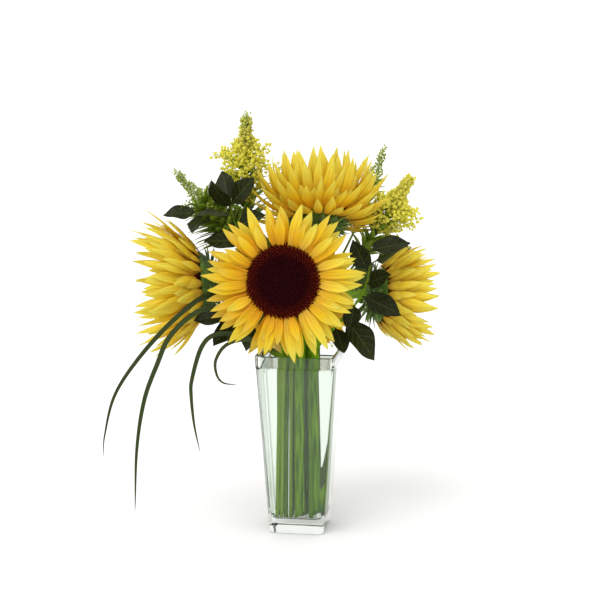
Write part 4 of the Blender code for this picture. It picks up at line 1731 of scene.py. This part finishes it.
GRASS = (
    GrassBlade(1, (-9, -9), (
        (-20, -17, 234), (-42, -33, 258), (-72, -55, 273), (-99, -73, 277), (-131, -90, 256),
        (-169, -92, 215), (-197, -88, 172), (-209, -84, 127), (-211, -82, 104),
    )),
    GrassBlade(2, (-10, -19), (
        (-30, -38, 232), (-62, -60, 257), (-92, -76, 265), (-116, -86, 257), (-139, -90, 234),
        (-151, -88, 207), (-166, -86, 166), (-175, -84, 111), (-178, -82, 42),
    )),
    GrassBlade(3, (-25, -16), (
        (-44, -38, 218), (-70, -58, 232), (-92, -66, 233), (-106, -69, 219), (-116, -70, 185),
        (-117, -70, 167), (-114, -70, 135), (-108, -70, 105),
    )),
    GrassBlade(4, (-20, -21), (
        (-34, -42, 214), (-58, -62, 227), (-79, -72, 223), (-90, -75, 207), (-89, -75, 191),
        (-82, -74, 182), (-68, -70, 179),
    )),
)


# ---------------------------------------------------------------------------------------------
# The studio
# ---------------------------------------------------------------------------------------------


@dataclass(frozen=True)
class Studio:
    """A pale paper floor, white surroundings, one wide soft light and one camera."""

    turn: float = math.radians(9)
    elevation: float = math.radians(10)
    distance: float = 2.0
    target: float = 0.259
    lens: float = 108.8
    floor_size: float = 300.0
    surround: float = 1.0
    key: float = 1.25
    key_width: float = 40.0

    def floor(self) -> None:
        """Lays the paper just under the vase."""
        steps = np.linspace(-0.5, 0.5, 9) * self.floor_size
        x, y = np.meshgrid(steps, steps, indexing="ij")
        points = np.stack([x, y, np.full_like(x, -0.02 * MM)], axis=-1).reshape(-1, 3)
        uv = points[:, :2] / self.floor_size + 0.5
        sheet = Surface(
            points, grid_quads(9, 9), np.empty((0, 3), int), uv, np.zeros((len(points), 3))
        )
        floor = sheet.to_object("paper_floor")
        floor.data.materials.append(StudioFloor().build())

    def light(self) -> None:
        """Lights it: even white surroundings and one wide soft lamp from high in front, left."""
        scene = bpy.context.scene
        scene.world = bpy.data.worlds.new("white_room")
        scene.world.use_nodes = True
        background = scene.world.node_tree.nodes["Background"]
        background.inputs["Color"].default_value = linear("#FFFFFF")
        background.inputs["Strength"].default_value = self.surround
        lamp = bpy.data.lights.new("soft_key", "SUN")
        lamp.energy = self.key
        lamp.angle = math.radians(self.key_width)
        key = bpy.data.objects.new("soft_key", lamp)
        across, back, up = 0.36, 0.6, -1.0
        direction = Vector((
            across * math.cos(self.turn) - back * math.sin(self.turn),
            across * math.sin(self.turn) + back * math.cos(self.turn), up,
        ))
        key.rotation_mode = "QUATERNION"
        key.rotation_quaternion = direction.to_track_quat("-Z", "Y")
        scene.collection.objects.link(key)
        scene.view_settings.view_transform = "Standard"
        scene.view_settings.look = "None"

    def camera(self) -> None:
        """Sets up the camera, level with the bunch's front and a little above it."""
        data = bpy.data.cameras.new("camera")
        data.lens = self.lens
        data.sensor_width = 36.0
        camera = bpy.data.objects.new("camera", data)
        level = self.distance * math.cos(self.elevation)
        target = Vector((0, 0, self.target))
        camera.location = Vector((
            level * math.sin(self.turn), -level * math.cos(self.turn),
            self.target + self.distance * math.sin(self.elevation),
        ))
        camera.rotation_mode = "QUATERNION"
        camera.rotation_quaternion = (target - camera.location).to_track_quat("-Z", "Y")
        bpy.context.scene.collection.objects.link(camera)
        bpy.context.scene.camera = camera

    def make(self) -> None:
        """Makes the floor, the lights and the camera."""
        self.floor()
        self.light()
        self.camera()


def main() -> None:
    """Builds the studio, the vase and every flower, leaf and blade in turn."""
    logging.basicConfig(level=logging.INFO, format="%(name)s %(message)s")
    finishes = Finishes().build()
    bunch = Bunch()
    Studio().make()
    GlassVase().make(finishes)
    for plant in (*SUNFLOWERS, *GOLDENRODS, *SALALS, *GRASS):
        plant.make(finishes, bunch)


if __name__ == "__main__":
    main()
